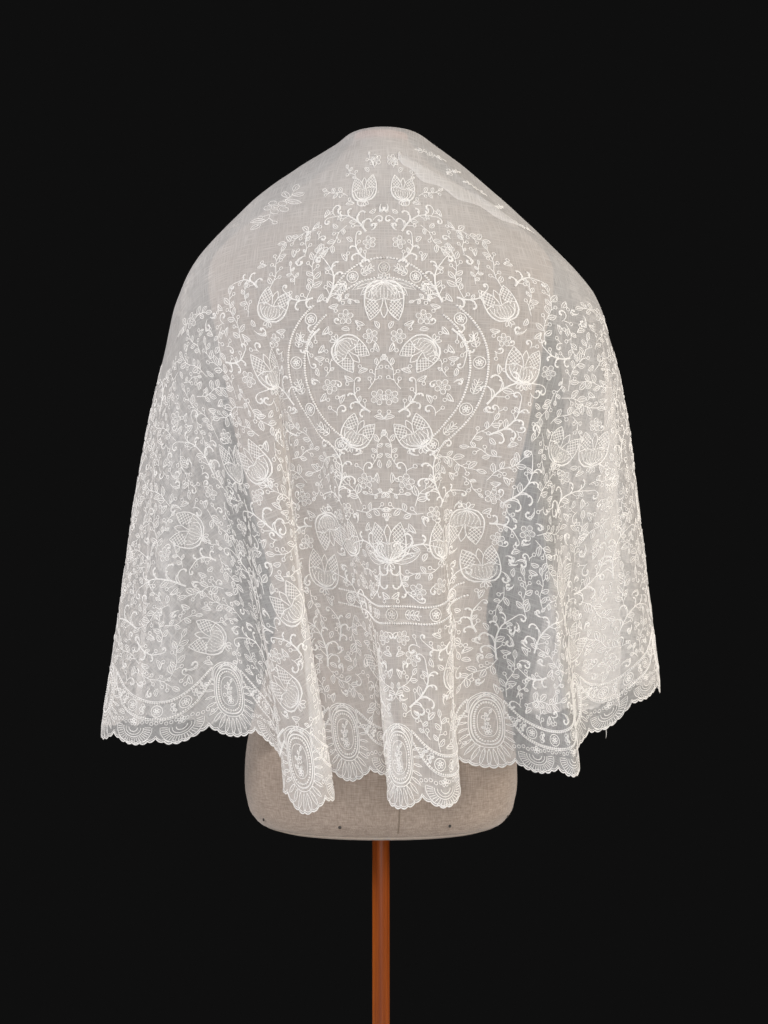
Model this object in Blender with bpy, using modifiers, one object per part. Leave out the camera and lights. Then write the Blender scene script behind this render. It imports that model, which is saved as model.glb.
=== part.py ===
# Lace shawl worn on a limbless dress form, on a turned stand. Metres, +Z up.
# The back of the garment faces -Y, its open front +Y. The stand's underside is at z = 0.
import bpy
import bmesh
import numpy as np

# Shawl: a near half-round cut from one cloth, measured along the cloth from the middle of the neck.
REACH = 0.780            # neck to the notches of the scalloped hem
HALF_SPREAD = 78         # degrees of the cut from the centre back to each front edge, at the hem
REPEAT = 12              # degrees of the cut that one border repeat takes
FAN_DEPTH = 0.012        # how far the fan lobe under each border oval hangs below the notches
SCALLOP_DEPTH = 0.007    # the same for the two scallops between fans
CLOTH_WALL = 0.0015
EVEN_TURN = 1.58         # degrees round the neck for each degree of the cut, near the centre back
SIDE_STEP = 0.0035       # the cloth hangs this far to the right of the form's middle
FOLD_POWER = 0.95        # folds deepen almost evenly from where they start down to the hem
CLEARANCE = 0.0006       # cloth to form, at the closest
LEAST_SPREAD = 5.0       # degrees of the cut in front of the side, so that no ring is divided by nought
LEAST_MEASURE = 0.05     # the same for points near the form's axis

# Stand
CAP_RADIUS = 0.0310
CAP_THICKNESS = 0.010
CAP_TOP = 1.475
CAP_ROUND = 0.003
SEAT_GAP = 0.0003        # between pieces that rest on each other
POLE_RADIUS = 0.010
SOCKET_DEPTH = 0.060     # how far the pole goes up into the form
SOCKET_MOUTH = 0.054     # height of the base's collar round the pole
BASE_RADIUS = 0.180
BASE_RECESS = 0.010      # height of the floor of the pole's recess in the base
FORM_SIDES = 40
TURNED_SIDES = 32
ROUNDNESS = 2.15         # exponent of the form's oval sections, 2 is an ellipse
SHARP_ANGLE = 50         # degrees above which an edge is shaded sharp

# The smooth drape, one row for each ring of the cloth at this distance from the neck:
# distance, left reach, right reach, height at the sides, back reach, back height, front reach,
# front height, and the angle of the cut that lies at the left side and at the right side.
RINGS = [
    (0.000, 0.000, 0.000, 1.4753, 0.000, 1.4753, 0.000, 1.4753, 90.0, 90.0),
    (0.036, 0.0345, 0.0345, 1.4753, 0.0345, 1.4753, 0.0345, 1.4753, 88.0, 88.0),
    (0.070, 0.057, 0.059, 1.4600, 0.055, 1.4530, 0.060, 1.4550, 79.0, 78.0),
    (0.114, 0.100, 0.094, 1.4335, 0.077, 1.4130, 0.073, 1.4170, 71.0, 68.0),
    (0.155, 0.137, 0.124, 1.4080, 0.094, 1.3750, 0.080, 1.3800, 67.0, 63.0),
    (0.195, 0.169, 0.156, 1.3790, 0.108, 1.3380, 0.088, 1.3480, 64.0, 59.0),
    (0.235, 0.198, 0.187, 1.3500, 0.118, 1.2990, 0.096, 1.3130, 61.0, 54.0),
    (0.270, 0.219, 0.217, 1.3210, 0.125, 1.2650, 0.103, 1.2810, 58.5, 51.0),
    (0.310, 0.234, 0.246, 1.2840, 0.130, 1.2250, 0.110, 1.2430, 57.0, 48.5),
    (0.360, 0.247, 0.266, 1.2350, 0.133, 1.1760, 0.116, 1.1950, 56.0, 47.0),
    (0.420, 0.262, 0.282, 1.1750, 0.136, 1.1160, 0.121, 1.1360, 55.0, 46.0),
    (0.500, 0.277, 0.293, 1.0950, 0.139, 1.0370, 0.126, 1.0570, 54.0, 44.5),
    (0.600, 0.290, 0.303, 0.9960, 0.142, 0.9370, 0.130, 0.9570, 53.0, 43.0),
    (0.700, 0.301, 0.310, 0.9010, 0.145, 0.8380, 0.132, 0.8580, 52.0, 41.5),
    (0.780, 0.311, 0.314, 0.8260, 0.147, 0.7600, 0.134, 0.7800, 51.0, 40.0),
]

# The hem's folds, one row for each turn of a ridge or valley: angle of the cut, across, out
# (+ towards the front), height, and the distance from the neck at which the fold starts.
HEM_FOLDS = [
    (-78.0, -0.168, 0.135, 0.790, 0.22),
    (-74.8, -0.196, 0.163, 0.784, 0.24),
    (-71.4, -0.226, 0.140, 0.790, 0.27),
    (-68.6, -0.228, 0.104, 0.797, 0.28),
    (-65.6, -0.254, 0.090, 0.797, 0.28),
    (-62.6, -0.282, 0.112, 0.796, 0.28),
    (-59.6, -0.298, 0.088, 0.796, 0.30),
    (-56.6, -0.287, 0.054, 0.800, 0.32),
    (-53.6, -0.303, 0.028, 0.801, 0.33),
    (-50.6, -0.320, 0.000, 0.800, 0.34),
    (-47.8, -0.316, -0.036, 0.797, 0.34),
    (-44.5, -0.285, -0.068, 0.791, 0.36),
    (-41.0, -0.237, -0.086, 0.791, 0.38),
    (-37.8, -0.190, -0.081, 0.805, 0.38),
    (-35.0, -0.153, -0.084, 0.804, 0.37),
    (-31.9, -0.119, -0.099, 0.790, 0.355),
    (-29.0, -0.105, -0.134, 0.765, 0.34),
    (-26.5, -0.1035, -0.170, 0.748, 0.33),
    (-24.0, -0.082, -0.187, 0.738, 0.32),
    (-22.2, -0.063, -0.190, 0.741, 0.31),
    (-20.6, -0.0535, -0.173, 0.745, 0.31),
    (-18.8, -0.060, -0.148, 0.752, 0.325),
    (-17.0, -0.075, -0.134, 0.758, 0.34),
    (-15.6, -0.077, -0.120, 0.762, 0.355),
    (-14.0, -0.060, -0.116, 0.765, 0.37),
    (-12.0, -0.037, -0.1195, 0.762, 0.38),
    (-9.4, -0.008, -0.1225, 0.763, 0.42),
    (-7.2, 0.014, -0.119, 0.762, 0.46),
    (-5.9, 0.024, -0.130, 0.758, 0.48),
    (-4.6, 0.018, -0.146, 0.752, 0.48),
    (-3.0, 0.0065, -0.161, 0.748, 0.46),
    (-1.6, 0.0055, -0.178, 0.744, 0.45),
    (0.0, 0.018, -0.190, 0.744, 0.45),
    (2.0, 0.040, -0.187, 0.743, 0.45),
    (3.8, 0.063, -0.190, 0.740, 0.43),
    (5.4, 0.0775, -0.176, 0.745, 0.40),
    (6.9, 0.078, -0.155, 0.755, 0.38),
    (8.4, 0.072, -0.137, 0.765, 0.38),
    (9.9, 0.080, -0.120, 0.773, 0.38),
    (11.6, 0.108, -0.114, 0.776, 0.38),
    (14.6, 0.150, -0.124, 0.770, 0.38),
    (17.4, 0.180, -0.148, 0.768, 0.36),
    (19.6, 0.199, -0.168, 0.769, 0.34),
    (21.0, 0.206, -0.156, 0.772, 0.33),
    (22.6, 0.207, -0.134, 0.785, 0.33),
    (24.2, 0.210, -0.110, 0.797, 0.34),
    (26.0, 0.224, -0.090, 0.800, 0.36),
    (28.2, 0.251, -0.084, 0.813, 0.38),
    (30.6, 0.280, -0.078, 0.835, 0.38),
    (33.0, 0.301, -0.052, 0.845, 0.36),
    (35.6, 0.3130, -0.018, 0.847, 0.34),
    (38.4, 0.3140, 0.019, 0.848, 0.30),
    (41.4, 0.300, 0.051, 0.841, 0.30),
    (44.6, 0.267, 0.058, 0.836, 0.30),
    (48.0, 0.230, 0.048, 0.834, 0.30),
    (51.0, 0.217, 0.069, 0.830, 0.30),
    (54.2, 0.241, 0.092, 0.825, 0.30),
    (57.6, 0.277, 0.106, 0.819, 0.29),
    (60.4, 0.286, 0.130, 0.815, 0.28),
    (63.2, 0.262, 0.144, 0.806, 0.28),
    (66.6, 0.220, 0.130, 0.803, 0.28),
    (69.2, 0.200, 0.143, 0.803, 0.27),
    (72.0, 0.212, 0.171, 0.800, 0.26),
    (74.8, 0.212, 0.196, 0.795, 0.25),
    (78.0, 0.180, 0.198, 0.788, 0.22),
]

# The cut's top edge: distance from the neck, angle of the cut at which the cloth ends there,
# and the turn round the neck at which that edge lies.
TOP_EDGE = [
    (0.000, 150.0, 150.0),
    (0.070, 150.0, 150.0),
    (0.114, 104.0, 130.0),
    (0.155, 92.0, 120.0),
    (0.195, 85.0, 120.5),
    (0.235, 80.0, 121.0),
    (0.270, 77.0, 121.5),
    (0.310, 75.5, 122.0),
    (0.360, 75.0, 122.3),
    (0.500, 75.5, 123.0),
    (0.600, 76.3, 123.4),
    (0.700, 77.3, 123.8),
    (0.780, 78.0, 124.0),
]

# Distances from the neck at which the cloth's rows lie, the hem's own row comes after them.
CLOTH_ROWS = (0.036, 0.070, 0.114, 0.165, 0.215, 0.265, 0.315, 0.370, 0.430, 0.490,
              0.550, 0.610, 0.670, 0.730)

# The form, one row for each level: height, half width, depth to the back, depth to the front.
FORM_LEVELS = [
    (0.680, 0.122, 0.088, 0.080),
    (0.684, 0.134, 0.096, 0.088),
    (0.694, 0.146, 0.105, 0.097),
    (0.715, 0.154, 0.111, 0.104),
    (0.750, 0.156, 0.113, 0.107),
    (0.800, 0.149, 0.109, 0.105),
    (0.860, 0.132, 0.098, 0.098),
    (0.920, 0.121, 0.090, 0.092),
    (0.960, 0.126, 0.092, 0.094),
    (1.000, 0.135, 0.096, 0.100),
    (1.080, 0.155, 0.105, 0.118),
    (1.130, 0.167, 0.111, 0.128),
    (1.170, 0.175, 0.115, 0.130),
    (1.220, 0.184, 0.117, 0.121),
    (1.260, 0.192, 0.115, 0.111),
    (1.300, 0.198, 0.109, 0.098),
    (1.330, 0.194, 0.101, 0.087),
    (1.350, 0.178, 0.094, 0.080),
    (1.370, 0.154, 0.086, 0.073),
    (1.390, 0.126, 0.077, 0.067),
    (1.410, 0.096, 0.066, 0.058),
    (1.430, 0.068, 0.054, 0.049),
    (1.448, 0.048, 0.044, 0.041),
    (1.4647, 0.034, 0.034, 0.034),
]

# Half section of the base, from its axis: radius, height.
BASE_PROFILE = [
    (0.0, BASE_RECESS),
    (POLE_RADIUS + SEAT_GAP, BASE_RECESS),
    (POLE_RADIUS + SEAT_GAP, SOCKET_MOUTH),
    (0.0185, SOCKET_MOUTH),
    (0.0225, 0.050),
    (0.0235, 0.044),
    (0.0260, 0.036),
    (0.0380, 0.030),
    (0.1000, 0.025),
    (0.1600, 0.020),
    (0.1740, 0.016),
    (BASE_RADIUS, 0.009),
    (BASE_RADIUS, 0.004),
    (0.1770, 0.0),
    (0.0, 0.0),
]

# Colour, roughness, metallic
FINISHES = {
    "cloth": ((0.86, 0.83, 0.79), 0.75, 0.0),
    "linen": ((0.42, 0.34, 0.27), 0.90, 0.0),
    "cap": ((0.55, 0.33, 0.27), 0.80, 0.0),
    "pole": ((0.36, 0.13, 0.03), 0.35, 0.0),
    "base": ((0.30, 0.11, 0.03), 0.40, 0.0),
}


def clear_scene():
    for obj in list(bpy.data.objects):
        bpy.data.objects.remove(obj, do_unlink=True)


def finish(name):
    colour, roughness, metallic = FINISHES[name]
    material = bpy.data.materials.new(name)
    material.use_nodes = True
    shader = material.node_tree.nodes["Principled BSDF"]
    shader.inputs["Base Color"].default_value = (*colour, 1.0)
    shader.inputs["Roughness"].default_value = roughness
    shader.inputs["Metallic"].default_value = metallic
    return material


def add_piece(name, mesh, material, collection):
    obj = bpy.data.objects.new(name, mesh)
    collection.objects.link(obj)
    mesh.materials.append(material)
    return obj


def smooth_through(rows, at):
    # A smooth curve through the table's rows. The first column is where each row lies, and each
    # row's slope is the mean of its neighbours' slopes, weighted to the nearer one.
    rows = np.array(rows)
    knots = rows[:, 0]
    values = rows[:, 1:]
    step = np.diff(knots)[:, None]
    rise = np.diff(values, axis=0) / step
    inner = (rise[:-1] * step[1:] + rise[1:] * step[:-1]) / (step[:-1] + step[1:])
    slope = np.concatenate([rise[:1], inner, rise[-1:]])
    at = np.clip(at, knots[0], knots[-1])
    low = np.clip(np.searchsorted(knots, at, side="right") - 1, 0, len(step) - 1)
    gap = step[low]
    t = (at - knots[low])[..., None] / gap
    start = (1 + 2 * t) * (1 - t) ** 2 * values[low] + t * (1 - t) ** 2 * gap * slope[low]
    end = t * t * (3 - 2 * t) * values[low + 1] + t * t * (t - 1) * gap * slope[low + 1]
    return start + end


def turn_round_neck(angle, distance, side_angle):
    # Degrees round the neck at which an angle of the cut lies: even at the centre back, a quarter
    # turn at the side angle, and from there on to the top edge.
    edge = np.array(TOP_EDGE)
    edge_angle = np.interp(distance, edge[:, 0], edge[:, 1])
    edge_turn = np.interp(distance, edge[:, 0], edge[:, 2])
    part = np.minimum(np.abs(angle) / side_angle, 1.0)
    even = np.minimum(EVEN_TURN * side_angle / 90.0, 1.0)
    behind = 90.0 * (even * part + (1 - even) * part ** 3)
    past = (np.abs(angle) - side_angle) / np.maximum(edge_angle - side_angle, LEAST_SPREAD)
    ahead = 90.0 + past * (edge_turn - 90.0)
    return np.sign(angle) * np.where(part < 1.0, behind, ahead)


def smooth_drape(angle, distance):
    # The cloth with no folds: ovals that are taut over the shoulders and then hang.
    ring = smooth_through(RINGS, distance)
    left, right, side_z, back, back_z, front, front_z, left_angle, right_angle = np.moveaxis(ring, -1, 0)
    side_angle = np.where(angle < 0, left_angle, right_angle)
    turn = np.radians(turn_round_neck(angle, distance, side_angle))
    behind = np.cos(turn) > 0
    across = np.where(angle < 0, left, right) * np.sin(turn)
    out = -np.where(behind, back, front) * np.cos(turn)
    height = side_z + (np.where(behind, back_z, front_z) - side_z) * np.cos(turn) ** 2
    return np.stack([across, out, height], axis=-1)


def folded_drape(angle, distance):
    # Each fold grows from its start to the hem, where its row says how far it stands off the
    # smooth drape. Cloth past the notches of the hem hangs straight down.
    fold = smooth_through(HEM_FOLDS, angle)
    start = fold[..., 3]
    hung = np.minimum(distance, REACH)
    grown = np.maximum((hung - start) / (REACH - start), 0.0) ** FOLD_POWER
    at_hem = np.clip(angle, -HALF_SPREAD, HALF_SPREAD)
    shift = fold[..., :3] - smooth_drape(at_hem, np.full_like(distance, REACH))
    place = smooth_drape(angle, hung) + grown[..., None] * shift
    place[..., 2] -= distance - hung
    return place


def form_measure(place, extra):
    # Above 1 outside the form's oval at that height, grown by extra, and below 1 inside it.
    level = smooth_through(FORM_LEVELS, place[..., 2])
    depth = np.where(place[..., 1] < 0, level[..., 1], level[..., 2]) + extra
    wide = np.abs(place[..., 0]) / (level[..., 0] + extra)
    deep = np.abs(place[..., 1]) / depth
    return (wide ** ROUNDNESS + deep ** ROUNDNESS) ** (1 / ROUNDNESS)


def clear_of_form(place):
    # Cloth that would reach the form is moved straight out until it is just clear of it.
    lower = place[..., 2] < FORM_LEVELS[-1][0]
    measure = form_measure(place, CLEARANCE + CLOTH_WALL)
    grow = np.where(lower & (measure < 1.0), 1.0 / np.maximum(measure, LEAST_MEASURE), 1.0)
    place[..., :2] *= grow[..., None]
    return place


def hem_lobe(angle):
    # Depth of the scalloped edge: in each repeat a fan under the oval and two scallops, each an
    # arch a third of a repeat wide.
    width = REPEAT / 3
    lobe = np.round(angle / width)
    depth = np.where(lobe % 3 == 0, FAN_DEPTH, SCALLOP_DEPTH)
    return depth * (1 - ((angle - lobe * width) / (width / 2)) ** 2)


def shawl_points():
    # One row of points for each distance, from the left front edge round the back to the right.
    share = np.arange(-HALF_SPREAD, HALF_SPREAD + 1) / HALF_SPREAD
    edge = np.array(TOP_EDGE)
    rows = []
    for distance in CLOTH_ROWS:
        angle = share * np.interp(distance, edge[:, 0], edge[:, 1])
        rows.append(folded_drape(angle, np.full_like(angle, distance)))
    angle = share * HALF_SPREAD
    rows.append(folded_drape(angle, REACH + hem_lobe(angle)))
    points = clear_of_form(np.array(rows))
    points[..., 0] += SIDE_STEP
    return points


def build_shawl(collection):
    points = shawl_points()
    row_count, column_count, _ = points.shape
    mesh = bmesh.new()
    crown = mesh.verts.new((SIDE_STEP, 0.0, RINGS[0][3]))
    grid = [[mesh.verts.new(point) for point in row] for row in points]
    for column in range(column_count - 1):
        mesh.faces.new((crown, grid[0][column], grid[0][column + 1]))
    # The cut reaches a little in front of the neck, between the first two rows.
    mesh.faces.new((crown, grid[0][-1], grid[0][0]))
    mesh.faces.new((grid[0][0], grid[0][-1], grid[1][-1], grid[1][0]))
    for row in range(row_count - 1):
        for column in range(column_count - 1):
            mesh.faces.new((grid[row][column], grid[row + 1][column],
                            grid[row + 1][column + 1], grid[row][column + 1]))
    data = bpy.data.meshes.new("shawl")
    mesh.to_mesh(data)
    mesh.free()
    data.shade_smooth()
    obj = add_piece("shawl", data, finish("cloth"), collection)
    wall = obj.modifiers.new("cloth wall", "SOLIDIFY")
    wall.thickness = CLOTH_WALL
    wall.offset = 1.0
    return obj


def oval(level, sides):
    # One level of the form, anticlockwise seen from above.
    height, half_width, back, front = level
    turn = np.arange(sides) * 2 * np.pi / sides
    power = 2 / ROUNDNESS
    across = half_width * np.sign(np.cos(turn)) * np.abs(np.cos(turn)) ** power
    depth = np.where(np.sin(turn) < 0, back, front)
    out = depth * np.sign(np.sin(turn)) * np.abs(np.sin(turn)) ** power
    return np.stack([across, out, np.full(sides, height)], axis=1)


def circle(radius, height, sides):
    turn = np.arange(sides) * 2 * np.pi / sides
    return np.stack([radius * np.cos(turn), radius * np.sin(turn), np.full(sides, height)], axis=1)


def build_torso(collection):
    # Lofted through its levels, closed at the neck, with the pole's socket in the flat underside.
    bottom = FORM_LEVELS[0][0]
    socket = POLE_RADIUS + SEAT_GAP
    rings = [circle(socket, bottom + SOCKET_DEPTH, FORM_SIDES), circle(socket, bottom, FORM_SIDES)]
    rings += [oval(level, FORM_SIDES) for level in FORM_LEVELS]
    mesh = bmesh.new()
    loops = [[mesh.verts.new(point) for point in ring] for ring in rings]
    for low, high in zip(loops, loops[1:]):
        for side in range(FORM_SIDES):
            after = (side + 1) % FORM_SIDES
            mesh.faces.new((low[side], low[after], high[after], high[side]))
    mesh.faces.new(loops[-1])
    mesh.faces.new(list(reversed(loops[0])))
    bmesh.ops.recalc_face_normals(mesh, faces=mesh.faces)
    data = bpy.data.meshes.new("form_torso")
    mesh.to_mesh(data)
    mesh.free()
    data.shade_smooth()
    data.set_sharp_from_angle(angle=np.radians(SHARP_ANGLE))
    return add_piece("form_torso", data, finish("linen"), collection)


def turned(name, profile, material, collection):
    # A profile of (radius, height) points turned about +Z.
    mesh = bmesh.new()
    points = [mesh.verts.new((radius, 0.0, height)) for radius, height in profile]
    for start, end in zip(points, points[1:]):
        mesh.edges.new((start, end))
    data = bpy.data.meshes.new(name)
    mesh.to_mesh(data)
    mesh.free()
    obj = add_piece(name, data, material, collection)
    screw = obj.modifiers.new("turned", "SCREW")
    screw.steps = TURNED_SIDES
    screw.render_steps = TURNED_SIDES
    screw.use_merge_vertices = True
    screw.merge_threshold = 0.00001
    return obj


def build_cap(collection):
    # A covered disc on the neck, its upper edge rounded.
    bend = np.radians((90, 60, 30, 0))
    rim = [(CAP_RADIUS - CAP_ROUND + CAP_ROUND * np.cos(a), CAP_TOP - CAP_ROUND + CAP_ROUND * np.sin(a))
           for a in bend]
    bottom = CAP_TOP - CAP_THICKNESS
    profile = [(0.0, CAP_TOP), *rim, (CAP_RADIUS, bottom), (0.0, bottom)]
    return turned("neck_cap", profile, finish("cap"), collection)


def build_pole(collection):
    low = BASE_RECESS + SEAT_GAP
    high = FORM_LEVELS[0][0] + SOCKET_DEPTH - SEAT_GAP
    mesh = bmesh.new()
    bmesh.ops.create_cone(mesh, cap_ends=True, segments=TURNED_SIDES, radius1=POLE_RADIUS,
                          radius2=POLE_RADIUS, depth=high - low)
    data = bpy.data.meshes.new("pole")
    mesh.to_mesh(data)
    mesh.free()
    data.shade_smooth()
    data.set_sharp_from_angle(angle=np.radians(SHARP_ANGLE))
    obj = add_piece("pole", data, finish("pole"), collection)
    obj.location.z = (low + high) / 2
    return obj


def build_base(collection):
    return turned("base", BASE_PROFILE, finish("base"), collection)


def main():
    clear_scene()
    collection = bpy.data.collections.new("lace shawl on dress form")
    bpy.context.scene.collection.children.link(collection)
    build_base(collection)
    build_pole(collection)
    build_torso(collection)
    build_cap(collection)
    build_shawl(collection)


main()
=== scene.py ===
import math
import bmesh
import bpy
import mathutils
import numpy as np
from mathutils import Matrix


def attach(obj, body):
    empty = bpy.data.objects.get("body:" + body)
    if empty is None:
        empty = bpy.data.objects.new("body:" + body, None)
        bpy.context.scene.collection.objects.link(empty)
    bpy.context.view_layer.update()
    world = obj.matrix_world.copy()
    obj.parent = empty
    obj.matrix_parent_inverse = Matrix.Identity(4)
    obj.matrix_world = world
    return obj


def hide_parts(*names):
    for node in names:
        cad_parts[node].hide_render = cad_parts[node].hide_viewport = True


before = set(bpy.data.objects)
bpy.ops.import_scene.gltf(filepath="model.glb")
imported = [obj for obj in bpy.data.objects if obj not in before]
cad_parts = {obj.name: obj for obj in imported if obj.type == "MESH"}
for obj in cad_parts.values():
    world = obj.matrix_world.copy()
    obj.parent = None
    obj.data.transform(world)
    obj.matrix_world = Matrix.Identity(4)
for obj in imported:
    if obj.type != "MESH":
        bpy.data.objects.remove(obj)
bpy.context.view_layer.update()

print("frame loaded", len(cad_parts), "nodes")

# Everything is in metres. The embroidered back faces -Y, as in the photograph.
view = {
    "pixel": 0.00115,        # metres per photograph pixel at the pole
    "width": 768,
    "distance": 2.0,
    "height": 1.041,
}

shawl = {
    "reach": 0.780,          # middle of the neck to the notches of the hem, along the cloth
    "halfSpread": 78.0,      # degrees of the cut from the centre back to a front edge
    "repeat": 12.0,          # degrees of one border repeat
    "fanDepth": 0.012,
    "scallopDepth": 0.007,
    "smallScallop": 0.0022,  # depth of the small scallops along each lobe
    "smallRepeat": 0.6667,   # degrees
    "smallPoints": 8,        # points along each of them
    "hemTurn": 0.0014,       # the buttonholed edge takes this much off
    "plainEnd": 0.004,       # the cloth's own grid ends this far above the notches
    "neckEnd": 0.070,        # the cut reaches this far past the neck in front
    "wall": 0.0015,
    "evenTurn": 1.58,
    "sideStep": 0.0035,      # cloth and camera stand this far to the right of the pole
    "foldPower": 0.95,
    "clearance": 0.0006,
    "lift": 0.0008,          # the thin cloth lies this far out in the wall of its solid
    "leastLift": 0.0001,
    "firstRow": 0.003,
    "pastLobe": 0.002,
    "rows": 168,
    "columns": 480,
}

# Smooth drape: distance, left reach, right reach, side height, back reach, back height,
# front reach, front height, cut angle at the left side, cut angle at the right side
rings = [
    (0.000, 0.000, 0.000, 1.4753, 0.000, 1.4753, 0.000, 1.4753, 90.0, 90.0),
    (0.036, 0.0345, 0.0345, 1.4753, 0.0345, 1.4753, 0.0345, 1.4753, 88.0, 88.0),
    (0.070, 0.057, 0.059, 1.4600, 0.055, 1.4530, 0.060, 1.4550, 79.0, 78.0),
    (0.114, 0.100, 0.094, 1.4335, 0.077, 1.4130, 0.073, 1.4170, 71.0, 68.0),
    (0.155, 0.137, 0.124, 1.4080, 0.094, 1.3750, 0.080, 1.3800, 67.0, 63.0),
    (0.195, 0.169, 0.156, 1.3790, 0.108, 1.3380, 0.088, 1.3480, 64.0, 59.0),
    (0.235, 0.198, 0.187, 1.3500, 0.118, 1.2990, 0.096, 1.3130, 61.0, 54.0),
    (0.270, 0.219, 0.217, 1.3210, 0.125, 1.2650, 0.103, 1.2810, 58.5, 51.0),
    (0.310, 0.234, 0.246, 1.2840, 0.130, 1.2250, 0.110, 1.2430, 57.0, 48.5),
    (0.360, 0.247, 0.266, 1.2350, 0.133, 1.1760, 0.116, 1.1950, 56.0, 47.0),
    (0.420, 0.262, 0.282, 1.1750, 0.136, 1.1160, 0.121, 1.1360, 55.0, 46.0),
    (0.500, 0.277, 0.293, 1.0950, 0.139, 1.0370, 0.126, 1.0570, 54.0, 44.5),
    (0.600, 0.290, 0.303, 0.9960, 0.142, 0.9370, 0.130, 0.9570, 53.0, 43.0),
    (0.700, 0.301, 0.310, 0.9010, 0.145, 0.8380, 0.132, 0.8580, 52.0, 41.5),
    (0.780, 0.311, 0.314, 0.8260, 0.147, 0.7600, 0.134, 0.7800, 51.0, 40.0),
]

# Turns of the hem's folds: cut angle, across, out (+ to the front), height, distance of the start
hemFolds = [
    (-78.0, -0.168, 0.135, 0.790, 0.22), (-74.8, -0.196, 0.163, 0.784, 0.24),
    (-71.4, -0.226, 0.140, 0.790, 0.27), (-68.6, -0.228, 0.104, 0.797, 0.28),
    (-65.6, -0.254, 0.090, 0.797, 0.28), (-62.6, -0.282, 0.112, 0.796, 0.28),
    (-59.6, -0.298, 0.088, 0.796, 0.30), (-56.6, -0.287, 0.054, 0.800, 0.32),
    (-53.6, -0.303, 0.028, 0.801, 0.33), (-50.6, -0.320, 0.000, 0.800, 0.34),
    (-47.8, -0.316, -0.036, 0.797, 0.34), (-44.5, -0.285, -0.068, 0.791, 0.36),
    (-41.0, -0.237, -0.086, 0.791, 0.38), (-37.8, -0.190, -0.081, 0.805, 0.38),
    (-35.0, -0.153, -0.084, 0.804, 0.37), (-31.9, -0.119, -0.099, 0.790, 0.355),
    (-29.0, -0.105, -0.134, 0.765, 0.34), (-26.5, -0.1035, -0.170, 0.748, 0.33),
    (-24.0, -0.082, -0.187, 0.738, 0.32), (-22.2, -0.063, -0.190, 0.741, 0.31),
    (-20.6, -0.0535, -0.173, 0.745, 0.31), (-18.8, -0.060, -0.148, 0.752, 0.325),
    (-17.0, -0.075, -0.134, 0.758, 0.34), (-15.6, -0.077, -0.120, 0.762, 0.355),
    (-14.0, -0.060, -0.116, 0.765, 0.37), (-12.0, -0.037, -0.1195, 0.762, 0.38),
    (-9.4, -0.008, -0.1225, 0.763, 0.42), (-7.2, 0.014, -0.119, 0.762, 0.46),
    (-5.9, 0.024, -0.130, 0.758, 0.48), (-4.6, 0.018, -0.146, 0.752, 0.48),
    (-3.0, 0.0065, -0.161, 0.748, 0.46), (-1.6, 0.0055, -0.178, 0.744, 0.45),
    (0.0, 0.018, -0.190, 0.744, 0.45), (2.0, 0.040, -0.187, 0.743, 0.45),
    (3.8, 0.063, -0.190, 0.740, 0.43), (5.4, 0.0775, -0.176, 0.745, 0.40),
    (6.9, 0.078, -0.155, 0.755, 0.38), (8.4, 0.072, -0.137, 0.765, 0.38),
    (9.9, 0.080, -0.120, 0.773, 0.38), (11.6, 0.108, -0.114, 0.776, 0.38),
    (14.6, 0.150, -0.124, 0.770, 0.38), (17.4, 0.180, -0.148, 0.768, 0.36),
    (19.6, 0.199, -0.168, 0.769, 0.34), (21.0, 0.206, -0.156, 0.772, 0.33),
    (22.6, 0.207, -0.134, 0.785, 0.33), (24.2, 0.210, -0.110, 0.797, 0.34),
    (26.0, 0.224, -0.090, 0.800, 0.36), (28.2, 0.251, -0.084, 0.813, 0.38),
    (30.6, 0.280, -0.078, 0.835, 0.38), (33.0, 0.301, -0.052, 0.845, 0.36),
    (35.6, 0.3130, -0.018, 0.847, 0.34), (38.4, 0.3140, 0.019, 0.848, 0.30),
    (41.4, 0.300, 0.051, 0.841, 0.30), (44.6, 0.267, 0.058, 0.836, 0.30),
    (48.0, 0.230, 0.048, 0.834, 0.30), (51.0, 0.217, 0.069, 0.830, 0.30),
    (54.2, 0.241, 0.092, 0.825, 0.30), (57.6, 0.277, 0.106, 0.819, 0.29),
    (60.4, 0.286, 0.130, 0.815, 0.28), (63.2, 0.262, 0.144, 0.806, 0.28),
    (66.6, 0.220, 0.130, 0.803, 0.28), (69.2, 0.200, 0.143, 0.803, 0.27),
    (72.0, 0.212, 0.171, 0.800, 0.26), (74.8, 0.212, 0.196, 0.795, 0.25),
    (78.0, 0.180, 0.198, 0.788, 0.22),
]

# Top edge of the cut: distance, cut angle there, turn round the neck there
topEdge = np.array([
    (0.000, 150.0, 150.0), (0.070, 150.0, 150.0), (0.114, 104.0, 130.0), (0.155, 92.0, 120.0),
    (0.195, 85.0, 120.5), (0.235, 80.0, 121.0), (0.270, 77.0, 121.5), (0.310, 75.5, 122.0),
    (0.360, 75.0, 122.3), (0.500, 75.5, 123.0), (0.600, 76.3, 123.4), (0.700, 77.3, 123.8),
    (0.780, 78.0, 124.0),
])

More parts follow.
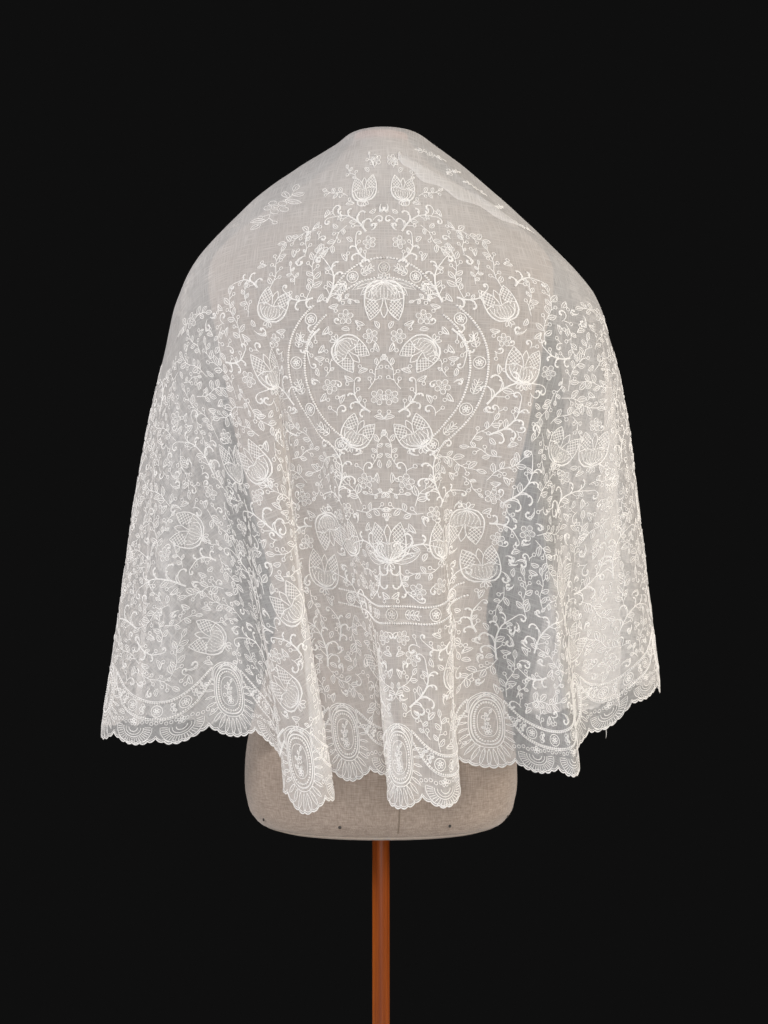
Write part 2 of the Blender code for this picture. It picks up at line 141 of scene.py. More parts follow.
# Form: height, half width, depth to the back, depth to the front
formLevels = [
    (0.680, 0.122, 0.088, 0.080), (0.684, 0.134, 0.096, 0.088), (0.694, 0.146, 0.105, 0.097),
    (0.715, 0.154, 0.111, 0.104), (0.750, 0.156, 0.113, 0.107), (0.800, 0.149, 0.109, 0.105),
    (0.860, 0.132, 0.098, 0.098), (0.920, 0.121, 0.090, 0.092), (0.960, 0.126, 0.092, 0.094),
    (1.000, 0.135, 0.096, 0.100), (1.080, 0.155, 0.105, 0.118), (1.130, 0.167, 0.111, 0.128),
    (1.170, 0.175, 0.115, 0.130), (1.220, 0.184, 0.117, 0.121), (1.260, 0.192, 0.115, 0.111),
    (1.300, 0.198, 0.109, 0.098), (1.330, 0.194, 0.101, 0.087), (1.350, 0.178, 0.094, 0.080),
    (1.370, 0.154, 0.086, 0.073), (1.390, 0.126, 0.077, 0.067), (1.410, 0.096, 0.066, 0.058),
    (1.430, 0.068, 0.054, 0.049), (1.448, 0.048, 0.044, 0.041), (1.4647, 0.034, 0.034, 0.034),
]

form = {"roundness": 2.15, "sides": 144, "levels": 130}


# The drape

def smoothThrough(rows, at):
    # cubic curve through the rows, each row's slope the weighted mean of its neighbours' slopes
    rows = np.array(rows)
    knots, values = rows[:, 0], rows[:, 1:]
    step = np.diff(knots)[:, None]
    rise = np.diff(values, axis=0) / step
    inner = (rise[:-1] * step[1:] + rise[1:] * step[:-1]) / (step[:-1] + step[1:])
    slope = np.concatenate([rise[:1], inner, rise[-1:]])
    at = np.clip(at, knots[0], knots[-1])
    low = np.clip(np.searchsorted(knots, at, side="right") - 1, 0, len(step) - 1)
    gap = step[low]
    t = (at - knots[low])[..., None] / gap
    start = (1 + 2 * t) * (1 - t) ** 2 * values[low] + t * (1 - t) ** 2 * gap * slope[low]
    return start + t * t * (3 - 2 * t) * values[low + 1] + t * t * (t - 1) * gap * slope[low + 1]


def edgeAngle(distance):
    # angle of the cut's edge at a distance from the neck, read off its table
    return np.interp(distance, topEdge[:, 0], topEdge[:, 1])


def turnRoundNeck(angle, distance, sideAngle):
    # even at the centre back, a quarter turn at the side angle, then on to the top edge
    part = np.minimum(np.abs(angle) / sideAngle, 1.0)
    even = np.minimum(shawl["evenTurn"] * sideAngle / 90.0, 1.0)
    behind = 90.0 * (even * part + (1 - even) * part ** 3)
    past = (np.abs(angle) - sideAngle) / np.maximum(edgeAngle(distance) - sideAngle, 5.0)
    ahead = 90.0 + past * (np.interp(distance, topEdge[:, 0], topEdge[:, 2]) - 90.0)
    return np.sign(angle) * np.where(part < 1.0, behind, ahead)


def smoothDrape(angle, distance):
    # ovals round the neck axis, their height going from the side's to the back's or front's
    # with the square of the cosine of the turn
    ring = np.moveaxis(smoothThrough(rings, distance), -1, 0)
    left, right, sideZ, back, backZ, front, frontZ, leftAngle, rightAngle = ring
    sideAngle = np.where(angle < 0, leftAngle, rightAngle)
    turn = np.radians(turnRoundNeck(angle, distance, sideAngle))
    behind = np.cos(turn) > 0
    across = np.where(angle < 0, left, right) * np.sin(turn)
    out = -np.where(behind, back, front) * np.cos(turn)
    height = sideZ + (np.where(behind, backZ, frontZ) - sideZ) * np.cos(turn) ** 2
    return np.stack([across, out, height], axis=-1)


def clearOfForm(place):
    # a point inside the form's oval at its height is moved straight out until it is just clear
    level = smoothThrough(formLevels, place[..., 2])
    extra = shawl["clearance"] + shawl["wall"]
    depth = np.where(place[..., 1] < 0, level[..., 1], level[..., 2]) + extra
    wide = np.abs(place[..., 0]) / (level[..., 0] + extra)
    deep = np.abs(place[..., 1]) / depth
    measure = (wide ** form["roundness"] + deep ** form["roundness"]) ** (1 / form["roundness"])
    inside = (place[..., 2] < formLevels[-1][0]) & (measure < 1.0)
    place[..., :2] *= np.where(inside, 1.0 / np.maximum(measure, 0.05), 1.0)[..., None]
    return place


def foldedDrape(angle, distance):
    # the smooth drape plus each fold's reach at the hem, which grows from the fold's start
    fold = smoothThrough(hemFolds, angle)
    start = fold[..., 3]
    hung = np.minimum(distance, shawl["reach"])
    grown = np.maximum((hung - start) / (shawl["reach"] - start), 0.0) ** shawl["foldPower"]
    atHem = np.clip(angle, -shawl["halfSpread"], shawl["halfSpread"])
    shift = fold[..., :3] - smoothDrape(atHem, np.full_like(distance, shawl["reach"]))
    place = smoothDrape(angle, hung) + grown[..., None] * shift
    place[..., 2] -= distance - hung
    return clearOfForm(place)


# Small creases: cut angle, width in degrees, height, distance where it starts and ends
creases = [
    (-52.0, 2.2, 0.0022, 0.12, 0.52), (-47.0, 1.4, -0.0018, 0.30, 0.70),
    (-41.5, 1.6, 0.0026, 0.28, 0.76), (-36.5, 1.2, -0.0024, 0.24, 0.74),
    (-32.5, 1.0, 0.0026, 0.30, 0.78), (-29.5, 0.8, -0.0022, 0.36, 0.78),
    (-25.0, 0.9, 0.0024, 0.34, 0.79), (-20.2, 0.7, -0.0020, 0.36, 0.79),
    (-12.5, 1.0, 0.0014, 0.46, 0.78), (-6.6, 0.8, -0.0016, 0.50, 0.79),
    (-1.2, 0.7, 0.0020, 0.44, 0.79), (4.6, 0.8, -0.0012, 0.50, 0.79),
    (7.6, 0.7, 0.0022, 0.42, 0.78), (12.6, 1.2, -0.0022, 0.36, 0.76),
    (16.4, 1.0, 0.0024, 0.32, 0.74), (21.8, 0.9, -0.0026, 0.30, 0.76),
    (25.6, 1.1, 0.0026, 0.30, 0.76), (30.2, 1.2, -0.0020, 0.26, 0.72),
    (34.0, 1.3, 0.0022, 0.26, 0.70), (40.0, 2.4, 0.0026, 0.05, 0.30),
    (47.0, 2.0, -0.0018, 0.08, 0.34), (52.5, 1.6, 0.0020, 0.28, 0.76),
    (58.0, 2.0, 0.0020, 0.20, 0.60), (-60.0, 2.0, -0.0018, 0.20, 0.60),
    (64.0, 1.4, -0.0020, 0.28, 0.76), (-65.0, 1.4, 0.0020, 0.28, 0.76),
    (70.5, 1.8, -0.0018, 0.24, 0.70), (-71.0, 1.8, 0.0018, 0.24, 0.70),
]



waviness = {"slow": 0.00045, "quick": 0.00018, "wander": 1.2, "fadeFrom": 0.05}


def creaseHeight(angle, distance):
    # each crease is a smooth bump across the angle that fades in and out along the cloth, over
    # a slow and a quick waviness, each the product of two crossed sine waves
    total = np.zeros_like(angle)
    for middle, width, height, start, end in creases:
        wander = waviness["wander"] * np.sin(distance * 17.0 + middle)
        across = np.exp(-((angle - middle - wander) / width) ** 2)
        along = np.clip((distance - start) / (end - start), 0.0, 1.0)
        total += height * across * np.sin(np.pi * along) ** 1.4
    u = distance * np.sin(np.radians(angle))
    v = distance * np.cos(np.radians(angle))
    slow = np.sin(u * 61.0 + 1.3 * np.sin(v * 23.0)) * np.sin(v * 37.0 + 0.8)
    quick = np.sin(u * 143.0 + v * 41.0 + 2.0) * np.sin(v * 88.0 - u * 52.0)
    fade = np.clip((distance - waviness["fadeFrom"]) / waviness["fadeFrom"], 0.0, 1.0)
    return (total + waviness["slow"] * slow + waviness["quick"] * quick) * fade


def normalsOf(place):
    # the cross product of a grid's two directions, at length one
    normal = np.cross(np.gradient(place, axis=0), np.gradient(place, axis=1))
    return normal / np.maximum(np.linalg.norm(normal, axis=-1, keepdims=True), 1e-12)


def buildDrapeGrid():
    # rows of equal distance from the neck to past the hem's deepest lobe, columns of equal share
    # of the cut's angle
    deepest = shawl["reach"] + shawl["fanDepth"] + shawl["pastLobe"]
    distance = np.linspace(shawl["firstRow"], deepest, shawl["rows"])
    share = np.linspace(-1.0, 1.0, shawl["columns"] + 1)
    row, column = np.meshgrid(distance, share, indexing="ij")
    angle = column * edgeAngle(row)
    place = foldedDrape(angle, row)
    lift = np.maximum(shawl["lift"] + creaseHeight(angle, row), shawl["leastLift"])
    place = place + normalsOf(place) * lift[..., None]
    place[..., 0] += shawl["sideStep"]
    return distance, share, angle, place, normalsOf(place)


gridDistance, gridShare, gridAngle, gridPlace, gridNormal = buildDrapeGrid()
print("drape worked out,", gridPlace.shape[0], "by", gridPlace.shape[1])


# A point of the flat cut is a complex number, across + 1j * up from the neck.

def bearing(degrees):
    # a step of length 1 in a direction, measured from straight across
    return np.exp(1j * np.radians(degrees))


def turnsOf(count):
    # a whole turn in even steps, without its end
    return np.linspace(0, 2 * np.pi, count, endpoint=False)


def atAngle(distance, angle):
    # the point at a distance from the neck and an angle from the centre back
    return distance * bearing(angle - 90.0)


def angleOf(flat):
    # degrees from the centre back, which runs straight down on the cut
    return np.degrees(np.arctan2(flat.real, -flat.imag))


def onCloth(flat, lift):
    # each point goes to its place on the draped grid, between the four nearest grid points,
    # raised by lift
    distance = np.abs(flat)
    share = np.clip(angleOf(flat) / edgeAngle(distance), -1.0, 1.0)
    row = (distance - gridDistance[0]) / (gridDistance[1] - gridDistance[0])
    row = np.clip(row, 0.0, len(gridDistance) - 1.001)
    column = np.clip((share + 1.0) / 2 * (len(gridShare) - 1), 0.0, len(gridShare) - 1.001)
    i, j = row.astype(int), column.astype(int)
    a, b = (row - i)[..., None], (column - j)[..., None]

    def between(grid):
        near = grid[i, j] * (1 - b) + grid[i, j + 1] * b
        far = grid[i + 1, j] * (1 - b) + grid[i + 1, j + 1] * b
        return near * (1 - a) + far * a

    return between(gridPlace) + between(gridNormal) * np.asarray(lift)[..., None]


# Meshes

def addObject(name, data):
    # an object in the scene that shows the data
    thing = bpy.data.objects.new(name, data)
    bpy.context.scene.collection.objects.link(thing)
    return thing


def makePiece(name, points, triangles, material, flat=None, node=None):
    # triangles (m, 3) on points (..., 3); flat holds each point's place in the flat cut, as a
    # complex number, which becomes its place in the UV map; without it the front view serves
    points = np.asarray(points).reshape(-1, 3)
    flat = points[:, 0] + 1j * points[:, 2] if flat is None else np.ravel(flat)
    corners = np.asarray(triangles, dtype=np.int32).ravel()
    count = len(corners) // 3
    mesh = bpy.data.meshes.new(name)
    mesh.vertices.add(len(points))
    mesh.vertices.foreach_set("co", points.astype(np.float32).ravel())
    mesh.loops.add(count * 3)
    mesh.loops.foreach_set("vertex_index", corners)
    mesh.polygons.add(count)
    mesh.polygons.foreach_set("loop_start", np.arange(0, count * 3, 3, dtype=np.int32))
    mesh.polygons.foreach_set("loop_total", np.full(count, 3, dtype=np.int32))
    mesh.update(calc_edges=True)
    layer = mesh.uv_layers.new(name="flat")
    uv = np.stack([flat.real, flat.imag], 1)[corners]
    layer.data.foreach_set("uv", uv.astype(np.float32).ravel())
    mesh.validate()
    mesh.shade_smooth()
    mesh.materials.append(material)
    piece = addObject(name, mesh)
    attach(piece, "root")
    if node:
        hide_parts(node)
    return piece


def cellTriangles(index):
    # two triangles for each cell of a grid of point numbers, or of many such grids
    a, b = index[..., :-1, :-1].ravel(), index[..., :-1, 1:].ravel()
    c, d = index[..., 1:, 1:].ravel(), index[..., 1:, :-1].ravel()
    return np.concatenate([np.stack([a, d, b], 1), np.stack([b, d, c], 1)])


def gridTriangles(rowCount, columnCount, wrap=False):
    # two triangles for each cell of a grid, whose rows close on themselves where wrap is set
    index = np.arange(rowCount * columnCount).reshape(rowCount, columnCount)
    return cellTriangles(np.concatenate([index, index[:, :1]], axis=1) if wrap else index)


def facesOutwards(piece, merge=0.0):
    # points closer than merge become one, and every face then points out
    work = bmesh.new()
    work.from_mesh(piece.data)
    if merge:
        bmesh.ops.remove_doubles(work, verts=work.verts, dist=merge)
    bmesh.ops.recalc_face_normals(work, faces=work.faces)
    work.to_mesh(piece.data)
    work.free()


# Materials

def connect(tree, node, sockets):
    # each named socket takes a plain value, or a link where the value is a node's output
    for name, value in sockets.items():
        if isinstance(value, bpy.types.NodeSocket):
            tree.links.new(value, node.inputs[name])
        else:
            node.inputs[name].default_value = value


def add(tree, kind, sockets, **properties):
    # a shader node of a kind, its properties set first, because some decide on its sockets
    node = tree.nodes.new("ShaderNode" + kind)
    for name, value in properties.items():
        setattr(node, name, value)
    connect(tree, node, sockets)
    return node


def noise(tree, scale, detail=2.0, distortion=0.0, onCut=False):
    # noise over the flat cut or the piece's own coordinates, with one scale or one for each axis
    if onCut:
        vector = add(tree, "UVMap", {}, uv_map="flat").outputs["UV"]
    else:
        vector = add(tree, "TexCoord", {}).outputs["Object"]
    scaled = add(tree, "Mapping", {"Vector": vector, "Scale": np.broadcast_to(scale, 3).tolist()})
    sockets = {"Vector": scaled.outputs["Vector"], "Scale": 1.0, "Detail": detail,
               "Distortion": distortion}
    return add(tree, "TexNoise", sockets, noise_dimensions="2D" if onCut else "3D").outputs["Fac"]


def maths(tree, operation, *values):
    # the result of one sum of values or of other nodes
    return add(tree, "Math", dict(enumerate(values)), operation=operation).outputs["Value"]


def mapRange(tree, value, source, target):
    # a value moved in proportion from the source's range to the target's, and kept inside it
    sockets = {"Value": value, "From Min": source[0], "From Max": source[1], "To Min": target[0],
               "To Max": target[1]}
    return add(tree, "MapRange", sockets).outputs["Result"]


def tones(tree, share, dark, light, stops=(0.0, 1.0)):
    # the darker tone up to the first stop, the lighter one from the second
    ramp = add(tree, "ValToRGB", {"Fac": share})
    for element, position, colour in zip(ramp.color_ramp.elements, stops, (dark, light)):
        element.position = position
        element.color = (*colour, 1.0)
    return ramp.outputs["Color"]


def bump(tree, height, strength, depth):
    # a surface direction that makes the height show as relief
    sockets = {"Height": height, "Strength": strength, "Distance": depth}
    return add(tree, "Bump", sockets).outputs["Normal"]


def newMaterial(name):
    # a material with its node tree and its main shader
    material = bpy.data.materials.new(name)
    material.use_nodes = True
    return material, material.node_tree, material.node_tree.nodes["Principled BSDF"]


clothLook = {
    "colour": (0.925, 0.900, 0.885),
    "slub": (0.975, 0.955, 0.940),
    "slubsAlong": 42.0,              # per metre along a thread, and across the threads
    "slubsAcross": 820.0,
    "clouds": 16.0,
    "cloudiness": 0.16,
    "unevenness": (0.46, 0.86),      # of the threads, for the least and the most cover
    "cover": (0.30, 0.49),
    "paintedSlantFrom": (1.26, 1.42),      # height over which the painted extra cover rises, lightening standing in for the slant view over the shoulders
    "paintedSlantBy": 0.13,
}


def clothMaterial():
    # a crisp sheer weave: its cover comes from two sets of uneven threads, along and across the
    # cut; over the shoulders the cover rises with height, painted lightening that stands in for the
    # denser look of sheer cloth seen at a slant there
    look = clothLook
    material, tree, shader = newMaterial("sheer weave")
    along, across = look["slubsAlong"], look["slubsAcross"]
    slubs = maths(tree, "MAXIMUM", noise(tree, (along, across, 1.0), onCut=True),
                  noise(tree, (across, along, 1.0), onCut=True))
    cloudy = maths(tree, "MULTIPLY_ADD", noise(tree, look["clouds"], onCut=True),
                   look["cloudiness"], slubs)
    place = add(tree, "SeparateXYZ", {"Vector": add(tree, "TexCoord", {}).outputs["Object"]})
    cover = mapRange(tree, cloudy, look["unevenness"], look["cover"])
    # painted lightening: more cover with height, in place of the denser look of cloth seen at a slant
    # over the shoulders
    paintedSlant = mapRange(tree, place.outputs["Z"], look["paintedSlantFrom"], (0.0, look["paintedSlantBy"]))
    connect(tree, shader, {
        "Roughness": 0.7, "Sheen Weight": 0.35, "Sheen Roughness": 0.4,
        "Alpha": maths(tree, "ADD", cover, paintedSlant),
        "Base Color": tones(tree, slubs, look["colour"], look["slub"]),
        "Normal": bump(tree, slubs, 0.35, 0.0004)})
    return material


def fillMaterial():
    # close stitches behind the cloth: uneven, and thin enough for some of the ground to show
    material, tree, shader = newMaterial("shadow stitching")
    uneven = noise(tree, 650.0, 3.0, onCut=True)
    connect(tree, shader, {"Roughness": 0.6, "Base Color": (0.93, 0.91, 0.88, 1.0),
                           "Alpha": mapRange(tree, uneven, (0.35, 0.65), (0.06, 0.40))})
    return material


def linenMaterial():
    # plain linen: fine crossed threads with darker and lighter flecks, cloudy with age
    material, tree, shader = newMaterial("form linen")
    weave = maths(tree, "ADD", noise(tree, (900.0, 900.0, 90.0)), noise(tree, (110.0, 110.0, 900.0)))
    aged = maths(tree, "MULTIPLY_ADD", noise(tree, 7.0, 5.0), 0.55, weave)
    colour = tones(tree, maths(tree, "MULTIPLY", aged, 0.5), (0.250, 0.190, 0.150),
                   (0.500, 0.405, 0.340), (0.45, 0.85))
    connect(tree, shader, {"Roughness": 0.9, "Sheen Weight": 0.25, "Base Color": colour,
                           "Normal": bump(tree, weave, 0.5, 0.0006)})
    return material


# Finishes of two tones mixed by one noise, which may also raise ridges of a strength and depth
mottledLooks = {
    "embroidery thread": {
        "dark": (0.87, 0.84, 0.81), "light": (0.97, 0.95, 0.93), "scale": 900.0, "onCut": True,
        "ridges": (0.4, 0.0004), "shader": {"Roughness": 0.55, "Sheen Weight": 0.4}},
    "varnish": {
        "dark": (0.190, 0.034, 0.002), "light": (0.370, 0.082, 0.006), "scale": (170.0, 170.0, 5.0),
        "stops": (0.32, 0.72), "detail": 6.0, "distortion": 0.6, "ridges": (0.15, 0.0005),
        "shader": {"Roughness": 0.38, "Coat Weight": 0.3, "Coat Roughness": 0.18}},
    "cap cotton": {
        "dark": (0.42, 0.22, 0.17), "light": (0.60, 0.38, 0.31), "scale": 220.0,
        "stops": (0.3, 0.7), "detail": 5.0, "ridges": (0.4, 0.0004),
        "shader": {"Roughness": 0.85, "Sheen Weight": 0.3}},
    "seam linen": {"dark": (0.180, 0.140, 0.108), "light": (0.320, 0.250, 0.192),
                   "shader": {"Roughness": 0.9}},
    "welt linen": {"dark": (0.446, 0.389, 0.331), "light": (0.794, 0.691, 0.589),
                   "shader": {"Roughness": 0.85}},
    "nail iron": {"dark": (0.043, 0.040, 0.036), "light": (0.077, 0.070, 0.064),
                  "shader": {"Roughness": 0.5, "Metallic": 0.6}},
}


def mottled(name, kind=None):
    # kind says whose look it takes, where that isn't its own name
    look = mottledLooks[kind or name]
    material, tree, shader = newMaterial(name)
    speckle = noise(tree, look.get("scale", 500.0), look.get("detail", 2.0),
                    look.get("distortion", 0.0), look.get("onCut", False))
    colour = tones(tree, speckle, look["dark"], look["light"], look.get("stops", (0.0, 1.0)))
    connect(tree, shader, {**look["shader"], "Base Color": colour})
    if "ridges" in look:
        connect(tree, shader, {"Normal": bump(tree, speckle, *look["ridges"])})
    return material


clothFinish = clothMaterial()
threadFinish = mottled("embroidery thread")


# The shawl's cloth

def hemLobe(angle):
    # in each repeat a fan under the oval and two scallops, each an arch a third of a repeat wide
    width = shawl["repeat"] / 3
    lobe = np.round(angle / width)
    depth = np.where(lobe % 3 == 0, shawl["fanDepth"], shawl["scallopDepth"])
    return depth * (1 - ((angle - lobe * width) / (width / 2)) ** 2)


def buildCloth():
    # the draped grid down to the notches, closed over the neck by a fan and in front of it by
    # the strip that the cut reaches past the neck
    rowCount = int(np.searchsorted(gridDistance, shawl["reach"] - shawl["plainEnd"]))
    columnCount = gridPlace.shape[1]
    crown = rowCount * columnCount
    points = np.concatenate([gridPlace[:rowCount].reshape(-1, 3), [gridPlace[0].mean(axis=0)]])
    column = np.arange(columnCount - 1)
    fan = np.stack([np.full(columnCount - 1, crown), column, column + 1], 1)
    left = np.arange(int(np.searchsorted(gridDistance, shawl["neckEnd"]))) * columnCount
    right = left + columnCount - 1
    triangles = np.concatenate([gridTriangles(rowCount, columnCount), fan,
                                [(crown, columnCount - 1, 0)],
                                np.stack([left, right, right + columnCount], 1),
                                np.stack([left, right + columnCount, left + columnCount], 1)])
    flat = np.append(atAngle(gridDistance[:rowCount, None], gridAngle[:rowCount]), 0.0)
    cloth = makePiece("shawl_cloth", points, triangles, clothFinish, flat, "shawl")
    return cloth, gridDistance[rowCount - 1]


def buildHemStrip(start):
    # from the cloth's last row to the scalloped edge, with small scallops along each lobe
    count = shawl["smallPoints"] * round(2 * shawl["halfSpread"] / shawl["smallRepeat"]) + 1
    angle = np.linspace(-shawl["halfSpread"], shawl["halfSpread"], count)
    small = shawl["smallScallop"] * np.abs(np.sin(np.pi * angle / shawl["smallRepeat"])) ** 0.8
    end = shawl["reach"] + hemLobe(angle) + small - shawl["hemTurn"]
    flat = atAngle(start + (end - start) * np.linspace(0.0, 1.0, 5)[:, None], angle)
    strip = makePiece("shawl_hem", onCloth(flat, 0.0), gridTriangles(*flat.shape), clothFinish,
                      flat)
    return strip, flat[-1]


turnedStrip = {
    # share of the length, distance, angle
    "line": [(0.0, 0.086, 11.0), (0.2, 0.098, 20.0), (0.45, 0.125, 30.0), (0.7, 0.160, 37.5),
             (1.0, 0.214, 42.0)],
    "width": 0.020,
    "lift": 0.0016,
}


def buildTurnedStrip():
    # at the upper right the cloth doubles back along a line: the doubled strip lies on the
    # outside, widest in its middle
    strip = turnedStrip
    share = np.linspace(0.0, 1.0, 90)
    foldLine = atAngle(*smoothThrough(strip["line"], share).T)
    way = np.gradient(foldLine)
    inward = -1j * way / np.abs(way)
    width = strip["width"] * np.sin(np.pi * share) ** 0.5 * (1 + 0.15 * np.sin(23.0 * share))
    across = np.linspace(0.0, 1.0, 9)
    flat = foldLine[:, None] + (inward * width)[:, None] * across
    lift = strip["lift"] * (0.35 + 0.65 * np.sin(np.pi * across) ** 0.6)
    return makePiece("turned_strip", onCloth(flat, lift), gridTriangles(*flat.shape), clothFinish,
                     flat)


threadEnd = {"distance": 0.782, "angle": 27.6, "length": 0.015, "radius": 0.0003}


def buildLooseThread():
    # a thread end that hangs from the hem: a five-sided tube round a slightly bowed line
    end = threadEnd
    share = np.linspace(0.0, 1.0, 12)
    bow = [0.0012 * np.sin(2.6 * share), -0.0006 * share, -end["length"] * share]
    middle = onCloth(atAngle(end["distance"], end["angle"]), 0.0) + np.stack(bow, 1)
    around = np.stack([np.cos(turnsOf(5)), np.sin(turnsOf(5)), np.zeros(5)], 1)
    thick = end["radius"] * np.sqrt(np.maximum(1 - share ** 8, 0.01))
    points = middle[:, None] + thick[:, None, None] * around
    return makePiece("thread_end", points, gridTriangles(12, 5, wrap=True)[:, ::-1], threadFinish)


cloth, clothEnd = buildCloth()
hemStrip, hemLine = buildHemStrip(clothEnd)
turned = buildTurnedStrip()
looseThread = buildLooseThread()
print("cloth built")


# Embroidery. A drawing is a list of (kind, points, width) in the flat cut. Kinds are thread, fill
# (close stitches as wide as width) and knots (a bead on each point).

stitch = {
    "fine": 0.00082,
    "plain": 0.0010,
    "bold": 0.0015,
    "net": 0.0007,
    "edge": 0.0014,
    "bead": 0.00125,         # radius
    "beadStep": 0.0026,
    "mesh": 0.0029,          # between the threads of the lattice
    "lift": 0.0003,          # of a thread's two edges off the cloth, and of a fill's
    "fillLift": 0.00015,
    "crown": 0.38,           # height of its middle over them, as a share of its width
    "fillCrown": 0.03,
}


def thread(points, width="fine"):
    # width is a stitch by name, or metres for the line or for each of its points
    return [("thread", points, stitch[width] if isinstance(width, str) else width)]


def redrawn(drawing, change):
    # the same stitches with every line's points changed by a function
    return [(kind, change(points), width) for kind, points, width in drawing]


def moved(drawing, place=0.0, turn=0.0):
    # turned about the drawing's origin and carried to a place
    return redrawn(drawing, lambda points: points * bearing(turn) + place)


def mirrored(drawing):
    # left and right changed over about the centre back
    return redrawn(drawing, lambda points: -np.conj(points))


def stretchedRound(drawing, place, share):
    # wider or narrower round the neck by the share, on both sides of the place
    radial = place / abs(place)

    def change(points):
        apart = (points - place) * np.conj(radial)
        return place + radial * (apart.real + 1j * share * apart.imag)

    return redrawn(drawing, change)


def towards(start, end):
    # a step of length 1 from one point to another
    return (end - start) / abs(end - start)


def lengthsAlong(points):
    # how far each point lies along the line, as the sum of the chords before it
    return np.concatenate([[0.0], np.cumsum(np.abs(np.diff(points)))])


def curve(points, count):
    # a smooth line through the points, evenly spaced along their chords
    points = np.array(points, complex)
    along = lengthsAlong(points)
    at = smoothThrough(np.stack([along, points.real, points.imag], 1),
                       np.linspace(0, along[-1], count))
    return at[:, 0] + 1j * at[:, 1]


def ring(centre, radius, width="fine", count=9):
    # a line round a centre that ends where it starts
    turn = np.linspace(0, 2 * np.pi, count)
    return thread(centre + radius * (np.cos(turn) + 1j * np.sin(turn)), width)


def leaf(base, span, wide=0.42, bend=0.0, filled=True, vein=True):
    # two bowed sides: half the width follows the sine of the length, round a bowed middle line
    t = np.linspace(0, 1, 7)
    middle = base + span * (t + 4j * bend * t * (1 - t))
    half = 0.5 * wide * np.sin(np.pi * t) ** 0.8
    edge = np.concatenate([middle + 1j * half * span, (middle - 1j * half * span)[-2::-1]])
    drawing = thread(edge)
    if filled:
        drawing.append(("fill", middle, 2 * half * abs(span)))
    return drawing + thread(middle[1:6], "net") if vein else drawing


def berry(base, span, radius=0.0019):
    # a short stalk with an eyelet ring on its end
    tip = base + span
    return ring(tip + radius * span / abs(span), radius) + thread(np.linspace(base, tip, 3))


def curl(base, heading, length, hand=1.0, bend=5.1, thick=0.0018):
    # a hook whose bend tightens along it and whose end is stitched thick
    t = np.linspace(0, 1, 11)
    way = np.exp(1j * (np.radians(heading) + hand * bend * (0.1 * t + 0.9 * t ** 2.2)))
    return thread(base + length * (np.cumsum(way) - way[0]) / 10, 0.0008 + thick * t ** 1.6)


def flower(centre, radius, turn=0.0):
    # five oval petals, each with a fill down its middle, round a small ring
    drawing = ring(centre, 0.20 * radius, "net", 7)
    around = np.linspace(0, 2 * np.pi, 8)
    petal = 0.64 + 0.34 * np.cos(around) + 0.33j * np.sin(around)
    for way in np.exp(1j * (np.radians(turn) + 2 * np.pi * np.arange(5) / 5)):
        drawing += thread(centre + radius * way * petal)
        drawing.append(("fill", centre + radius * way * np.linspace(0.36, 0.92, 4),
                        radius * np.array([0.2, 0.58, 0.60, 0.2])))
    return drawing


def spray(points, leafLength, nodes, seed, leafy=0.5):
    # a stem with leaves and berries to its left and right in turn and one at its end
    draw = np.random.default_rng(seed)
    stem = curve(points, 13)
    drawing = thread(stem)
    for number in range(nodes):
        i = min(int(2 + number * 10.0 / max(nodes, 1)), 11)
        side = 1 if number % 2 else -1
        lean = np.exp(1j * side * np.radians(draw.uniform(40, 58)))
        span = towards(stem[i], stem[i + 1]) * lean * leafLength
        if draw.random() < leafy:
            drawing += leaf(stem[i], span * draw.uniform(0.8, 1.15), 0.50, 0.08 * side)
        else:
            drawing += berry(stem[i], span * draw.uniform(0.42, 0.6))
    return drawing + leaf(stem[-1], towards(stem[-2], stem[-1]) * leafLength, 0.44)


def lattice(centre, length, wide, heading):
    # two crossed sets of threads inside an oval: each thread is the chord at its offset
    drawing, step = [], stitch["mesh"]
    for d in np.exp(1j * np.array([np.pi / 4, -np.pi / 4])):
        n = 1j * d
        for offset in np.arange(-0.5 * length, 0.5 * length, step):
            a = (d.real / length) ** 2 + (d.imag / wide) ** 2
            b = 2 * offset * (n.real * d.real / length ** 2 + n.imag * d.imag / wide ** 2)
            c = offset ** 2 * ((n.real / length) ** 2 + (n.imag / wide) ** 2) - 0.25
            root = b * b - 4 * a * c
            if root > 0 and root ** 0.5 / a > step:
                chord = offset * n + np.linspace(-b - root ** 0.5, -b + root ** 0.5, 3) / (2 * a) * d
                drawing += thread(centre + bearing(heading) * chord, "net")
    return drawing


# The tulip's right side, in shares of its size: points of a line, count along it, stitch
tulipLines = [
    ([0, 0.28 + 0.04j, 0.46 + 0.24j, 0.50 + 0.52j, 0.47 + 0.78j, 0.37 + 1.02j], 11,
     stitch["bold"] * np.array([0.8, 1.0, 1.2, 1.2, 1.1, 1.0, 0.9, 0.8, 0.7, 0.7, 0.6])),
    ([0.03j, 0.20 + 0.10j, 0.35 + 0.26j, 0.40 + 0.44j], 7, "fine"),
    ([0.37 + 1.02j, 0.17 + 0.86j, 0.06 + 0.66j, 0.02 + 0.46j], 8, "plain"),
    ([0.02 + 0.46j, 0.22 + 0.53j, 0.49 + 0.46j], 6, "plain"),
    ([0.09 + 0.72j, 0.08 + 0.82j, 0.96j], 5, "plain"),
]


